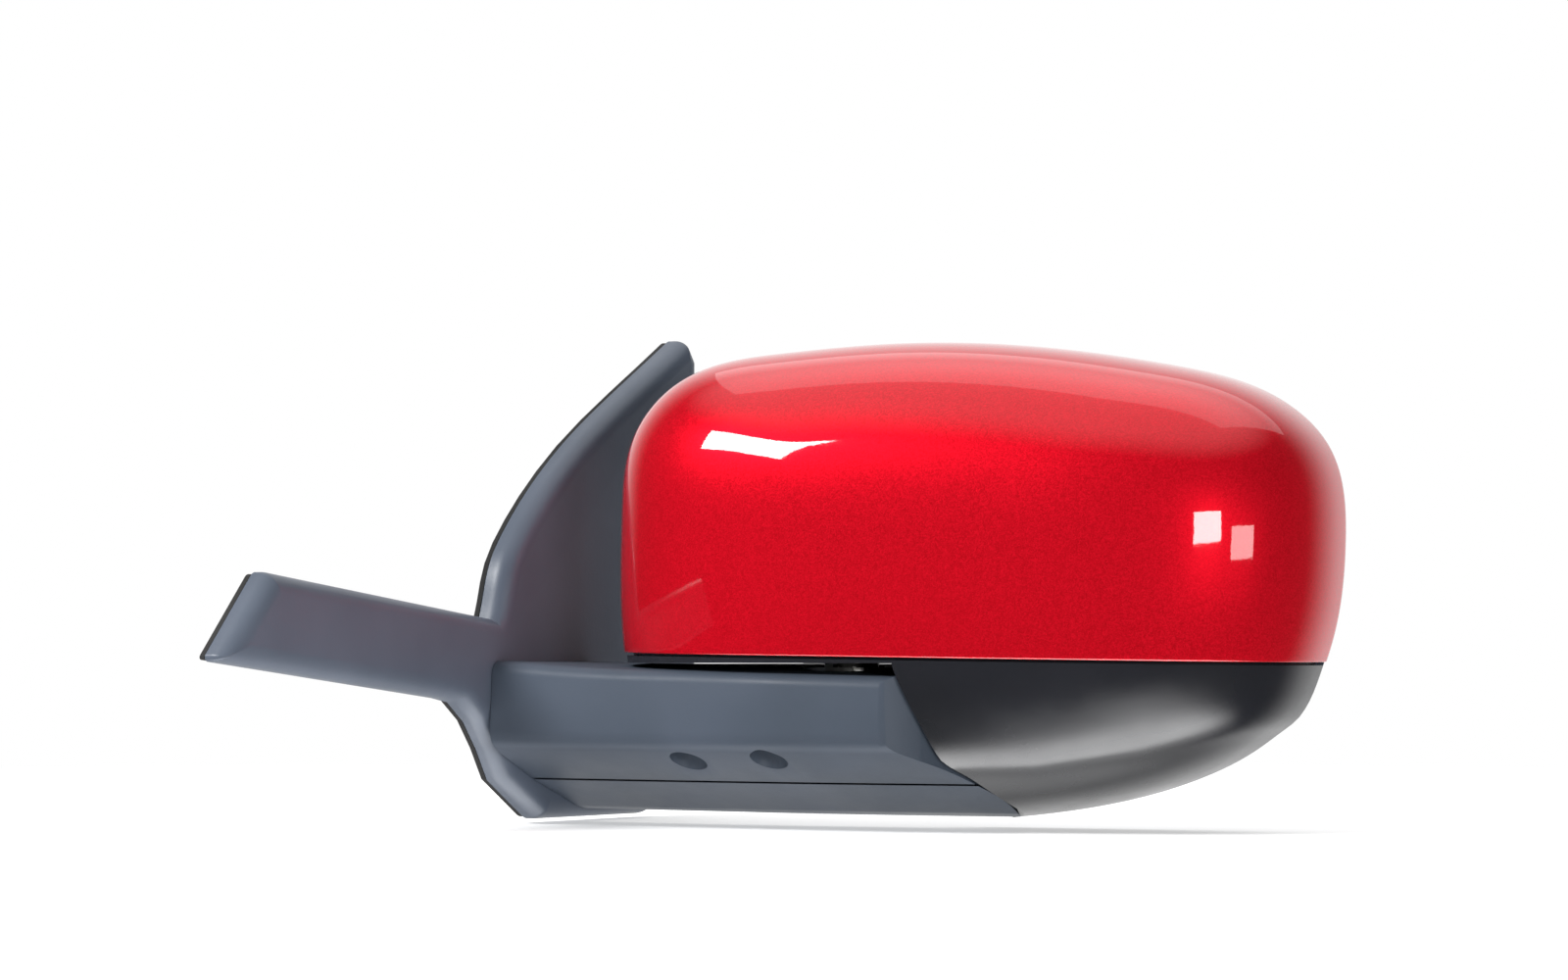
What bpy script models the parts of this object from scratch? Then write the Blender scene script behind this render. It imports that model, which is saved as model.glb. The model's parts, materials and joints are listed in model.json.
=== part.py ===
"""Car door mirror, left side: painted head on an arm and sail that bolt to the door.

Sizes are millimetres until a mesh or an empty is made, which turns them into metres.
World axes: +X out from the door, +Y to the rear of the car, +Z up. The origin is on the door face.
Head axes: x out along the head, y to the rear (the way the glass faces), z up, from the fold axis.
"""

import math

import bpy
import numpy as np
from mathutils import Matrix, Vector

MM = 0.001

# --- Clearances and walls ---
GAP = 0.3                  # between pieces that rest on each other
RUN = 0.4                  # radial, between a turning piece and its bore
WALL = 2.6                 # moulded covers
SEAM = 0.8                 # step and gap at the head's parting lines

# --- Door plate and sail ---
PLATE = 4.0                # thickness of the bracket's door plate
SAIL_BACK = 2.2            # back edge of the sail's side wall, in front of the gasket
SAIL_FACE = 12.0           # outer face of the sail
SAIL_ROUND = 6.6           # how far the sail's rounded edge runs in from its outline
SAIL_EDGE_FLAT = 3.0       # straight part of the sail's side wall
GASKET_WIDTH = 5.0
GASKET_INSET = 0.6
SAIL_CURVE = [(-35, 34), (-24, 60), (14, 94.5), (82, 135)]     # front edge, from belt to tip
SAIL_TIP = (88, 127)
SAIL_REAR_FOOT = (88, -4)
SAIL_BOTTOM_REAR = (60, -34)
SAIL_BOTTOM_FRONT = (-8, -34)
SAIL_TOE = (-30, -20.5)                                         # lower front corner
SCOOP = [(-62, 7.5), (-53, 6), (-44, -0.5), (-36.5, -10)]       # between the tab and the arm
TAB_TOE = (-181, 20)
TAB_TOP = (-156, 48)
PLATE_CORNERS = [(66, 112, 6), (-12, 64, 6), (-22, 36, 8), (-20, -12, 6), (-4, -24, 6), (56, -24, 10), (78, -2, 10),
                 (80, 110, 6)]
STUD_PLACES = [(22, 58), (66, 96), (60, -8)]
STUD_R = 3.0
STUD_LENGTH = 20.0
STUD_HEAD_R = 6.5
STUD_HEAD = 3.0
GROMMET_PLACE = (-5.5, -5.5)
GROMMET_R = 7.0

# --- Fold axis and arm ---
AXIS_X = 128.0             # fold axis from the door face
SWEEP = 12.0               # degrees that the head is swept to the rear
ARM_STATIONS = [12.3, 50, 90, 128, 165, 205]
ARM_FRONT = [-42, -42.5, -42, -39.5, -33, -24]                 # y of the front face
ARM_TOP = [20.0, 17.6, 16.6, 15.6, 14.6, 13.6]                 # z along the top's front edge
ARM_CROWN = [19.4, 18.7, 18.7, 18.7, 18.7, 18.7]               # z along its rear edge, close under the head
ARM_REAR = [20, 20, 23, 30, 36, 42]
ARM_CREASE = -8.0          # z where the front face turns under
ARM_LEAN = 1.5             # how far the front face leans back at its top
LUG_HALF = 6.0             # half width of the bracket's screw lugs
ARM_SKIRT = (26, -20.5)    # the sloping underside: y from the front face, and z
ARM_BOTTOM = (52, -30)
ARM_REAR_FOOT = -32.0
ARM_SPLIT = -20.0          # level of the seam between arm cover and under cover
CONE = [(44.5, 17.0), (46.5, -12.0), (58.0, -37.0)]            # radius, z of the arm's round end
CONE_GAP = 1.4             # between the arm's end and the head around it
WELL_PLACES = [(85, -32), (116, -32)]
WELL_R = 6.2
WELL_FLOOR = -3.0
BEAM_FRONT, BEAM_REAR = -17.0, 15.0
BEAM_TOP, BEAM_BOTTOM = 11.0, -14.0
BEAM_WALL = 3.6
PAD_R = 24.0
PAD_LOW = -8.0
SCREW_R = 2.0

# --- Head shell ---
RIM_Y = 41.0               # rear edge of the head
HEAD_DEPTH = 81.0          # rear edge to the foremost point
RIM_POINTS = [(-86, 70), (-82, 96), (-66, 114.5), (-30, 123.3), (15, 125.7), (60, 123.2), (100, 117), (132, 107.2),
              (152, 89), (157, 57), (152.5, 26), (138, -1), (110, -18.8), (64, -30.5), (14, -35), (-38, -33),
              (-72, -16.5), (-84, 14)]
HEAD_MIDDLE = (38, 52)
DEPTH_POWER = 3.0          # squareness of the head's side in plan and height
SIDE_POWER = 3.6
HEIGHT_POWER = 2.9
RIDGE = 2.4                # height of the crease along the bottom
RIDGE_AT = 50.0            # degrees round the section from the rear edge
RIDGE_WIDTH = 9.0
HEAD_AROUND = 48
HEAD_RINGS = 11
CAP_BACK = 36.5            # y of the parting between cap and rear housing
SPLIT_Z = 21.0             # height of the cap's lower edge at the fold axis
SPLIT_FALL = 0.014         # fall of that edge, out along the head
FLOOR_Z = 19.2             # underside of the head over the arm

# --- Glass and its opening ---
GLASS_POINTS = [(-66, 68), (-64, 91), (-52, 104.5), (-20, 110.5), (20, 111.5), (64, 107.5), (104, 98.5), (129, 88.5),
                (140, 75), (142.5, 56), (138, 35), (126, 19), (101, 13), (62, 24.5), (20, 32.5), (-20, 36),
                (-50, 40), (-62, 50)]
GLASS_FACE = 34.4
GLASS_THICK = 2.2
HEATER_THICK = 0.7
CARRIER_THICK = 2.4
CARRIER_LIP = 1.6
OPENING_GAP = 4.2          # between glass edge and opening
FUNNEL_FRONT = 15.0
BEZEL_BACK = 2.6           # thickness of the bezel's rear face

# --- Pivot stack, heights above the origin ---
POST_R, POST_BORE = 9.0, 6.5
POST_LOW, POST_HIGH = -4.5, 90.0
BOSS_R, BOSS_TOP = 14.0, 14.2
DETENT_R = 16.0
DETENT_THICK = 3.2
DETENT_TOOTH = 1.0
DETENT_CLEAR = 1.3
HUB_R = 14.2
HUB_TOP = 58.0
BUSH_R = 11.2
SPRING_R, SPRING_WIRE, SPRING_TURNS = 12.4, 1.6, 4.5
RETAINER_THICK = 2.5

# --- Actuator, about the glass pivot ---
PIVOT = (54.0, 22.0, 66.0)
CASE_R = 34.5
CASE_FRONT, CASE_BACK = -28.0, -8.0      # y from the pivot
CASE_WALL = 2.0
COVER_THICK = 2.0
LEVER = 22.5               # plunger to pivot
PLUNGER_R = 4.0
BALL_R = 3.0
WHEEL_R, WHEEL_TEETH, WHEEL_THICK = 8.6, 20, 6.0
TOOTH = 1.1
WORM_R = 2.2
MOTOR_R, MOTOR_LENGTH = 6.8, 14.0
RING_IN, RING_OUT = 8.0, 11.0
CROSS_PIN_R = 1.3
FRAME_FRONT, FRAME_THICK = -10.0, 3.7
LUG_PLACES = [(54, 106), (68, 25)]
LUG_BACK = 16.8
LUG_THICK = 2.8
LUG_ENDS = [(99, 114.6), (13, 31)]


# ---------------------------------------------------------------- scene and objects

def clear_scene():
    for old in list(bpy.data.objects):
        bpy.data.objects.remove(old)


def material(name, colour, roughness, metallic=0.0):
    made = bpy.data.materials.get(name)
    if made is None:
        made = bpy.data.materials.new(name)
        made.use_nodes = True
        shader = made.node_tree.nodes["Principled BSDF"]
        shader.inputs["Base Color"].default_value = (*colour, 1)
        shader.inputs["Roughness"].default_value = roughness
        shader.inputs["Metallic"].default_value = metallic
    return made


def paint_red():
    return material("red_paint", (0.62, 0.01, 0.02), 0.15)


def black_plastic():
    return material("black_plastic", (0.03, 0.032, 0.037), 0.5)


def nylon():
    return material("black_nylon", (0.02, 0.02, 0.022), 0.6)


def grey_nylon():
    return material("grey_nylon", (0.35, 0.35, 0.33), 0.5)


def rubber():
    return material("rubber", (0.015, 0.015, 0.015), 0.85)


def steel():
    return material("zinc_steel", (0.62, 0.62, 0.6), 0.35, 1.0)


def cast():
    return material("cast_aluminium", (0.32, 0.33, 0.34), 0.55, 1.0)


def brass():
    return material("brass", (0.7, 0.5, 0.2), 0.35, 1.0)


def mirror():
    return material("mirror", (0.9, 0.92, 0.93), 0.02, 1.0)


def frame_empty(name, place, parent=None, turn=0.0):
    empty = bpy.data.objects.new(name, None)
    empty.location = Vector(place) * MM
    empty.rotation_euler = (0, 0, math.radians(turn))
    empty.parent = parent
    bpy.context.scene.collection.objects.link(empty)
    return empty


def part(name, shape, paint, parent=None, sharp=35.0):
    """A named object from (points, faces), with the points in the parent's frame."""
    points, faces = shape
    mesh = bpy.data.meshes.new(name)
    mesh.from_pydata([Vector(p) * MM for p in points], [], faces)
    mesh.shade_smooth()
    mesh.set_sharp_from_angle(angle=math.radians(sharp))
    mesh.materials.append(paint)
    obj = bpy.data.objects.new(name, mesh)
    obj.parent = parent
    bpy.context.scene.collection.objects.link(obj)
    return obj


def helper(name, shape, parent=None):
    """A cutter or an added shape, which isn't a piece of the mirror."""
    obj = part(name, shape, nylon(), parent)
    obj.hide_render = True
    obj.display_type = "WIRE"
    return obj


def boolean(target, operation, other):
    step = target.modifiers.new(f"{operation.lower()}_{other.name}", "BOOLEAN")
    step.operation = operation
    step.object = other
    return target


def cut(target, *cutters):
    for cutter in cutters:
        boolean(target, "DIFFERENCE", cutter)


def add(target, *others):
    for other in others:
        boolean(target, "UNION", other)


def keep(target, *limits):
    for limit in limits:
        boolean(target, "INTERSECT", limit)


# ---------------------------------------------------------------- shapes, as (points, faces)

def loft(rings):
    """A closed body through rings of equal count, anticlockwise seen from the far end."""
    count = len(rings[0])
    points = [p for ring in rings for p in ring]
    faces = []
    for k in range(len(rings) - 1):
        for i in range(count):
            j = (i + 1) % count
            faces.append((k * count + i, k * count + j, (k + 1) * count + j, (k + 1) * count + i))
    faces.append(tuple(reversed(range(count))))
    last = (len(rings) - 1) * count
    faces.append(tuple(range(last, last + count)))
    return points, faces


def box(low, high):
    (x0, y0, z0), (x1, y1, z1) = low, high
    rings = [[(x0, y0, z), (x1, y0, z), (x1, y1, z), (x0, y1, z)] for z in (z0, z1)]
    return loft(rings)


def turned(profile, steps=32, closed=False):
    """A profile of (radius, height) turned about +Z. The profile runs up the outside.
    A closed profile makes a ring; an open one starts and ends on flat discs."""
    rings = []
    for radius, height in profile:
        turns = [2 * math.pi * i / steps for i in range(steps)]
        rings.append([(radius * math.cos(t), radius * math.sin(t), height) for t in turns])
    if not closed:
        return loft(rings)
    points = [p for ring in rings for p in ring]
    faces = []
    for k in range(len(rings)):
        after = (k + 1) % len(rings)
        for i in range(steps):
            j = (i + 1) % steps
            faces.append((k * steps + i, k * steps + j, after * steps + j, after * steps + i))
    return points, faces


def rod(radius, low, high, steps=24):
    return turned([(radius, low), (radius, high)], steps)


def ring(inner, outer, low, high, steps=32):
    return turned([(outer, low), (outer, high), (inner, high), (inner, low)], steps, closed=True)


def moved(shape, offset=(0, 0, 0), along=(0, 0, 1)):
    """The shape with its +Z turned to run along a direction, then moved."""
    turn = Vector((0, 0, 1)).rotation_difference(Vector(along)).to_matrix()
    points, faces = shape
    return [turn @ Vector(p) + Vector(offset) for p in points], faces


def closed_spline(knots, count):
    """Points spread evenly along a smooth closed curve through the knots."""
    p = np.array(knots, float)
    n = len(p)
    after = np.roll(p, -1, axis=0)
    span = np.linalg.norm(after - p, axis=1)
    before = np.roll(span, 1)
    system = np.diag(2 * (before + span))
    for i in range(n):
        system[i, i - 1] += before[i]
        system[i, (i + 1) % n] += span[i]
    slope = (after - p) / span[:, None]
    bend = np.linalg.solve(system, 6 * (slope - np.roll(slope, 1, axis=0)))
    fine = []
    for i in range(n):
        j = (i + 1) % n
        for t in np.linspace(0, 1, 40, endpoint=False):
            u, h = 1 - t, span[i]
            fine.append(u * p[i] + t * p[j] + h * h / 6 * ((u**3 - u) * bend[i] + (t**3 - t) * bend[j]))
    return even(fine, count, closed=True)


def even(points, count, closed):
    """The same line at equal steps."""
    line = np.array(points, float)
    if closed:
        line = np.vstack([line, line[:1]])
    length = np.concatenate([[0], np.cumsum(np.linalg.norm(np.diff(line, axis=0), axis=1))])
    marks = np.linspace(0, length[-1], count, endpoint=not closed)
    return [tuple(float(np.interp(m, length, line[:, k])) for k in range(line.shape[1])) for m in marks]


def eased(stations, values, at):
    """A value between stations, with a smooth slope."""
    slopes = np.gradient(np.array(values, float), np.array(stations, float))
    k = int(np.clip(np.searchsorted(stations, at) - 1, 0, len(stations) - 2))
    h = stations[k + 1] - stations[k]
    t = (at - stations[k]) / h
    return float(
        (2 * t**3 - 3 * t**2 + 1) * values[k]
        + (t**3 - 2 * t**2 + t) * h * slopes[k]
        + (3 * t**2 - 2 * t**3) * values[k + 1]
        + (t**3 - t**2) * h * slopes[k + 1]
    )


def rounded(corners, steps=4, distance=0.0):
    """An outline moved inwards, with arcs in place of its corners (x, y, radius). It runs anticlockwise."""
    line = inset([c[:2] for c in corners], distance)
    corners = [(x, y, c[2] and max(c[2] - distance, 0.4)) for (x, y), c in zip(line, corners)]
    made = []
    n = len(corners)
    for i, (x, y, radius) in enumerate(corners):
        here = Vector((x, y))
        to_last = (Vector(corners[i - 1][:2]) - here).normalized()
        to_next = (Vector(corners[(i + 1) % n][:2]) - here).normalized()
        half = to_last.angle(to_next) / 2
        if radius == 0:
            made.append((x, y))
            continue
        reach = radius / math.tan(half)
        start, end = here + to_last * reach, here + to_next * reach
        centre = here + (to_last + to_next).normalized() * radius / math.sin(half)
        first = math.atan2(start.y - centre.y, start.x - centre.x)
        turn = (math.atan2(end.y - centre.y, end.x - centre.x) - first + math.pi) % (2 * math.pi) - math.pi
        for k in range(steps + 1):
            angle = first + turn * k / steps
            made.append((centre.x + radius * math.cos(angle), centre.y + radius * math.sin(angle)))
    return made


def inset(outline, distance):
    """The outline moved inwards. It runs anticlockwise."""
    line = np.array(outline, float)
    to_here = line - np.roll(line, 1, axis=0)
    to_next = np.roll(line, -1, axis=0) - line
    to_here /= np.linalg.norm(to_here, axis=1)[:, None]
    to_next /= np.linalg.norm(to_next, axis=1)[:, None]
    side = np.stack([-(to_here + to_next)[:, 1], (to_here + to_next)[:, 0]], axis=1)
    side /= np.linalg.norm(side, axis=1)[:, None]
    spread = np.clip(side[:, 0] * -to_next[:, 1] + side[:, 1] * to_next[:, 0], 0.3, 1)
    return [tuple(p) for p in line + side * (distance / spread)[:, None]]


def across_x(outline, x):
    """A (y, z) outline as a ring at x."""
    return [(x, y, z) for y, z in outline]


def across_y(outline, y):
    """An (x, z) outline as a ring at y, turned so that lofts towards +y face out."""
    return [(x, y, z) for x, z in reversed(outline)]


def coil(radius, wire, turns, low, high, sides=6, per_turn=12):
    """A compression spring about +Z, with its first and last quarter turns flat."""
    steps = int(turns * per_turn)
    rings = []
    for k in range(steps + 1):
        share = k / steps
        rise = np.clip((share - 0.06) / 0.88, 0, 1)
        turn = 2 * math.pi * turns * share
        centre = Vector((radius * math.cos(turn), radius * math.sin(turn), low + wire + (high - low - 2 * wire) * rise))
        out = Vector((math.cos(turn), math.sin(turn), 0))
        rings.append([
            centre + wire * (out * math.cos(a) - Vector((0, 0, 1)) * math.sin(a))
            for a in (2 * math.pi * i / sides for i in range(sides))
        ])
    return loft(rings)


# ---------------------------------------------------------------- outlines of the base

def sail_outline(distance=0.0):
    """The sail and its tab seen from outside the car, in y and z, moved in by a distance."""
    marks = np.linspace(3, 0, 13)
    edge = [tuple(eased([0, 1, 2, 3], [p[k] for p in SAIL_CURVE], m) for k in (0, 1)) for m in marks]
    corners = [(*edge[0], 3.5), *[(*p, 0) for p in edge[1:]], (*TAB_TOP, 3), (*TAB_TOE, 1.5)]
    corners += [(*p, 0) for p in SCOOP]
    corners += [(*SAIL_TOE, 0), (*SAIL_BOTTOM_FRONT, 6), (*SAIL_BOTTOM_REAR, 12), (*SAIL_REAR_FOOT, 12), (*SAIL_TIP, 4)]
    return rounded(corners, 4, distance)


def arm_section(x, wall=0.0):
    """The arm's outline in y and z at x, moved in by the wall."""
    front = eased(ARM_STATIONS, ARM_FRONT, x)
    top = eased(ARM_STATIONS, ARM_TOP, x)
    rear = eased(ARM_STATIONS, ARM_REAR, x)
    crown = eased(ARM_STATIONS, ARM_CROWN, x)
    skirt, bottom = (front + ARM_SKIRT[0], ARM_SKIRT[1]), (front + ARM_BOTTOM[0], ARM_BOTTOM[1])
    corners = [(rear, crown, 4), (front + ARM_LEAN, top, 4.5), (front, ARM_CREASE, 7), (*skirt, 12), (*bottom, 12),
               (rear, ARM_REAR_FOOT, 5)]
    return rounded(corners, 3, wall)


def arm_body(wall, start):
    """The arm from a starting x to well past the fold axis."""
    stations = [start, *np.linspace(26, ARM_STATIONS[-1], 10)]
    return loft([across_x(arm_section(max(x, ARM_STATIONS[0]), wall), x) for x in stations])


def round_room(extra, top, side):
    """All that is inboard of the fold axis and a round room about it, up to a height. Its origin is the axis."""
    rings = []
    for z in (-150, *[z for _, z in reversed(CONE)], top):
        radius = float(np.interp(-z, [-height for _, height in CONE], [r for r, _ in CONE])) + extra
        if z == -150:
            radius += 60
        turns = [math.radians(-90 + 180 * k / 24) for k in range(25)]
        arc = [(radius * math.cos(t) + side, radius * math.sin(t), z) for t in turns]
        rings.append([(-200, -180, z), (side, -180, z), *arc, (side, 180, z), (-200, 180, z)])
    return loft(rings)


# ---------------------------------------------------------------- head form

def head_form(shrink=0.0, back=RIM_Y, around=HEAD_AROUND, rings=HEAD_RINGS):
    """The head's closed outer body, moved in by shrink. It runs straight to the rear, past the rim, to y = back."""
    rim = np.array(closed_spline(RIM_POINTS, around))[::-1]
    middle = np.array(HEAD_MIDDLE, float)
    back = max(back, RIM_Y + 1)
    points = [Vector((x, back, z)) for x, z in rim]
    swell = [0.0] * around
    for k in range(rings):
        turn = 90 * (k / rings) ** 0.9
        angle = math.radians(turn)
        scale = np.array([math.cos(angle) ** (2 / SIDE_POWER), math.cos(angle) ** (2 / HEIGHT_POWER)])
        y = RIM_Y - HEAD_DEPTH * math.sin(angle) ** (2 / DEPTH_POWER)
        crease = math.exp(-(((turn - RIDGE_AT) / RIDGE_WIDTH) ** 2))
        for spot in rim:
            x, z = middle + (spot - middle) * scale
            down = (middle[1] - spot[1]) / np.linalg.norm(spot - middle)
            points.append(Vector((x, y, z)))
            swell.append(RIDGE * crease * float(np.clip((down - 0.2) / 0.4, 0, 1)))
    points.append(Vector((middle[0], RIM_Y - HEAD_DEPTH, middle[1])))
    swell.append(0.0)
    faces = [tuple(reversed(range(around)))]
    for k in range(rings):
        for i in range(around):
            j = (i + 1) % around
            faces.append((k * around + i, k * around + j, (k + 1) * around + j, (k + 1) * around + i))
    for i in range(around):
        faces.append((rings * around + i, rings * around + (i + 1) % around, len(points) - 1))
    normals = outward(points, faces[1:])
    for k, normal in enumerate(normals):
        if k < around:
            normal = Vector((normal.x, 0, normal.z)).normalized()
        points[k] = points[k] + normal * (swell[k] - shrink)
    return points, faces


def outward(points, faces):
    """Each point's normal, from the three- and four-sided faces around it."""
    sums = [Vector() for _ in points]
    for face in faces:
        a, b, c, d = (points[i] for i in (face[0], face[1], face[2], face[-1]))
        normal = (c - a).cross(d - b)
        for i in face:
            sums[i] += normal
    return [s.normalized() for s in sums]


def split_box(above, gap):
    """Everything above or below the cap's lower edge, less a gap."""
    near, far = -200, 300
    def level(x):
        return SPLIT_Z - SPLIT_FALL * x + gap
    z = 250 if above else -250
    low = [(near, -150, level(near)), (far, -150, level(far)), (far, 150, level(far)), (near, 150, level(near))]
    high = [(x, y, z) for x, y, _ in low]
    return loft([low, high] if above else [high, low])


def carve_arm_room(target, grow, head, key):
    """Cuts the arm's space out of a head body. With grow it leaves a wall's thickness for another cut."""
    cut(target, helper(f"{key}_arm", round_room(CONE_GAP + grow, FLOOR_Z + grow, grow), head))


def opening_outline(grow):
    return inset(closed_spline(GLASS_POINTS, 48)[::-1], -grow) if grow else closed_spline(GLASS_POINTS, 48)[::-1]


def slab(outline, front, back):
    """An (x, z) outline made solid between two depths."""
    return loft([across_y(outline, front), across_y(outline, back)])


# ---------------------------------------------------------------- base: everything fixed to the door

def build_bracket():
    """Die-cast bracket: door plate, hollow beam and the pad that carries the fold post."""
    plate_line = rounded(PLATE_CORNERS)
    bracket = part("base_bracket", loft([across_x(plate_line, 0), across_x(plate_line, PLATE)]), cast())
    beam = helper("bracket_beam", box((PLATE - 1, BEAM_FRONT, BEAM_BOTTOM), (AXIS_X, BEAM_REAR, BEAM_TOP)))
    pad = helper("bracket_pad", moved(rod(PAD_R, PAD_LOW, BEAM_TOP + 0.6, 40), (AXIS_X, 0, 0)))
    boss = helper("bracket_boss", moved(rod(BOSS_R, 0, BOSS_TOP), (AXIS_X, 0, 0)))
    add(bracket, beam, pad, boss)
    for k, (x, y) in enumerate(WELL_PLACES):
        arm_front = max(eased(ARM_STATIONS, ARM_FRONT, x + side) for side in (-LUG_HALF, LUG_HALF))
        lug_front = arm_front + ARM_LEAN + WALL + GAP
        lug = box((x - LUG_HALF, lug_front, WELL_FLOOR + 2.5), (x + LUG_HALF, BEAM_FRONT + 2, WELL_FLOOR + 10.5))
        add(bracket, helper(f"bracket_lug_{k + 1}", lug))
        cut(bracket, helper(f"bracket_lug_bore_{k + 1}", moved(rod(SCREW_R + GAP, -20, 20, 16), (x, y, 0))))
    channel = box((PLATE, BEAM_FRONT + BEAM_WALL, BEAM_BOTTOM - 5),
                  (AXIS_X - BOSS_R - 6, BEAM_REAR - BEAM_WALL, BEAM_TOP - BEAM_WALL))
    cut(bracket, helper("bracket_channel", channel))
    cut(bracket, helper("bracket_post_bore", moved(rod(POST_R + GAP, POST_LOW - GAP, 40), (AXIS_X, 0, 0))))
    cut(bracket, helper("bracket_lead_bore", moved(rod(POST_BORE, -40, 0), (AXIS_X, 0, 0))))
    for k, (y, z) in enumerate(STUD_PLACES):
        cut(bracket, helper(f"bracket_stud_hole_{k + 1}", moved(rod(STUD_R + GAP, -5, 10, 16), (0, y, z), (1, 0, 0))))
    y, z = GROMMET_PLACE
    cut(bracket, helper("bracket_grommet_hole", moved(rod(GROMMET_R - 1.5 + GAP, -5, 10), (0, y, z), (1, 0, 0))))


def build_studs():
    """Three door studs: a head behind the plate and a shank through it."""
    for k, (y, z) in enumerate(STUD_PLACES):
        profile = [(STUD_R - 0.6, -STUD_LENGTH), (STUD_R, -STUD_LENGTH + 0.8), (STUD_R, PLATE + GAP),
                   (STUD_HEAD_R, PLATE + GAP), (STUD_HEAD_R, PLATE + GAP + STUD_HEAD)]
        part(f"door_stud_{k + 1}", moved(turned(profile, 20), (0, y, z), (1, 0, 0)), steel())


def build_grommet():
    """Rubber wiring grommet, its groove round the edge of the plate's hole, with a blind centre."""
    y, z = GROMMET_PLACE
    neck, lip = GROMMET_R - 1.5, GROMMET_R + 0.5
    profile = [(neck - 1, -6), (neck, -5), (neck, PLATE + GAP), (lip, PLATE + GAP), (lip, PLATE + 2), (neck, PLATE + 4)]
    grommet = part("harness_grommet", moved(turned(profile, 24), (0, y, z), (1, 0, 0)), rubber())
    cut(grommet, helper("grommet_mouth", moved(rod(3.4, -9, PLATE), (0, y, z), (1, 0, 0))))


def build_sail():
    """Sail and belt tab: a moulded pan with rounded edges, hollow from the back."""
    rings = [across_x(sail_outline(), x) for x in (SAIL_BACK, SAIL_BACK + SAIL_EDGE_FLAT)]
    rise = SAIL_FACE - SAIL_BACK - SAIL_EDGE_FLAT
    for turn in (22.5, 45, 67.5, 90):
        angle = math.radians(turn)
        line = sail_outline(SAIL_ROUND * (1 - math.cos(angle)))
        rings.append(across_x(line, SAIL_BACK + SAIL_EDGE_FLAT + rise * math.sin(angle)))
    sail = part("sail_panel", loft(rings), black_plastic())
    pocket = [(-5, WALL), (SAIL_BACK + SAIL_EDGE_FLAT, WALL), (SAIL_FACE - WALL, WALL + 0.45 * SAIL_ROUND)]
    cut(sail, helper("sail_pocket", loft([across_x(sail_outline(move), x) for x, move in pocket])))
    window = box((0, BEAM_FRONT - 1, BEAM_BOTTOM - 1), (40, BEAM_REAR + 1, BEAM_TOP + 1))
    cut(sail, helper("sail_window", window))


def build_gasket():
    """Foam gasket under the sail's edge, pressed flush with the door face."""
    outer = sail_outline(GASKET_INSET)
    inner = sail_outline(GASKET_INSET + GASKET_WIDTH)
    gasket = part("door_gasket", loft([across_x(outer, 0), across_x(outer, SAIL_BACK - GAP)]), rubber())
    cut(gasket, helper("gasket_middle", loft([across_x(inner, -9), across_x(inner, 9)])))


def build_arm_covers():
    """Upper and lower mouldings round the beam. The round end clears the folding head."""
    big = 400
    above = box((-big, -big, ARM_SPLIT + GAP), (big, big, big))
    below = box((-big, -big, -big), (big, big, ARM_SPLIT - GAP))
    for name, side in (("arm_cover", above), ("arm_under_cover", below)):
        shell = part(name, arm_body(0, ARM_STATIONS[0]), black_plastic())
        keep(shell, helper(f"{name}_end", moved(round_room(0, 60, 0), (AXIS_X, 0, 0))))
        hollow = helper(f"{name}_hollow", arm_body(WALL, ARM_STATIONS[0] - 9))
        keep(hollow, helper(f"{name}_hollow_end", moved(round_room(-WALL, 60, 0), (AXIS_X, 0, 0))))
        for k, (x, y) in enumerate(WELL_PLACES):
            tube = moved(rod(WELL_R + 1.6, -60, WELL_FLOOR + 2.0, 20), (x, y, 0))
            cut(hollow, helper(f"{name}_tube_{k + 1}", tube))
        cut(shell, hollow)
        keep(shell, helper(f"{name}_side", side))
    cover = bpy.data.objects["arm_cover"]
    cut(cover, helper("arm_boss_hole", moved(rod(DETENT_R + 1.2, 0, 40, 32), (AXIS_X, 0, 0))))
    for k, (x, y) in enumerate(WELL_PLACES):
        cut(cover, helper(f"well_bore_{k + 1}", moved(rod(WELL_R, -60, WELL_FLOOR, 20), (x, y, 0))))
        cut(cover, helper(f"well_hole_{k + 1}", moved(rod(SCREW_R + GAP, -10, 10, 12), (x, y, 0))))
        profile = [(3.8, WELL_FLOOR - 2.6), (3.8, WELL_FLOOR - GAP), (SCREW_R, WELL_FLOOR - GAP),
                   (SCREW_R, WELL_FLOOR + 9), (0.8, WELL_FLOOR + 11)]
        screw = part(f"arm_screw_{k + 1}", moved(turned(profile, 16), (x, y, 0)), steel())
        slot = box((x - 2.4, y - 0.6, WELL_FLOOR - 4), (x + 2.4, y + 0.6, WELL_FLOOR - 1.6))
        cut(screw, helper(f"arm_screw_slot_{k + 1}", slot))


def build_post():
    """Hollow steel fold post, fixed in the bracket's pad, with the lead's way through it."""
    low, high = POST_LOW, POST_HIGH
    profile = [(POST_R, low), (POST_R, high - 1), (POST_R - 0.8, high), (POST_BORE, high), (POST_BORE, low)]
    part("fold_post", moved(turned(profile, 32, closed=True), (AXIS_X, 0, 0)), steel())


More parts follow.
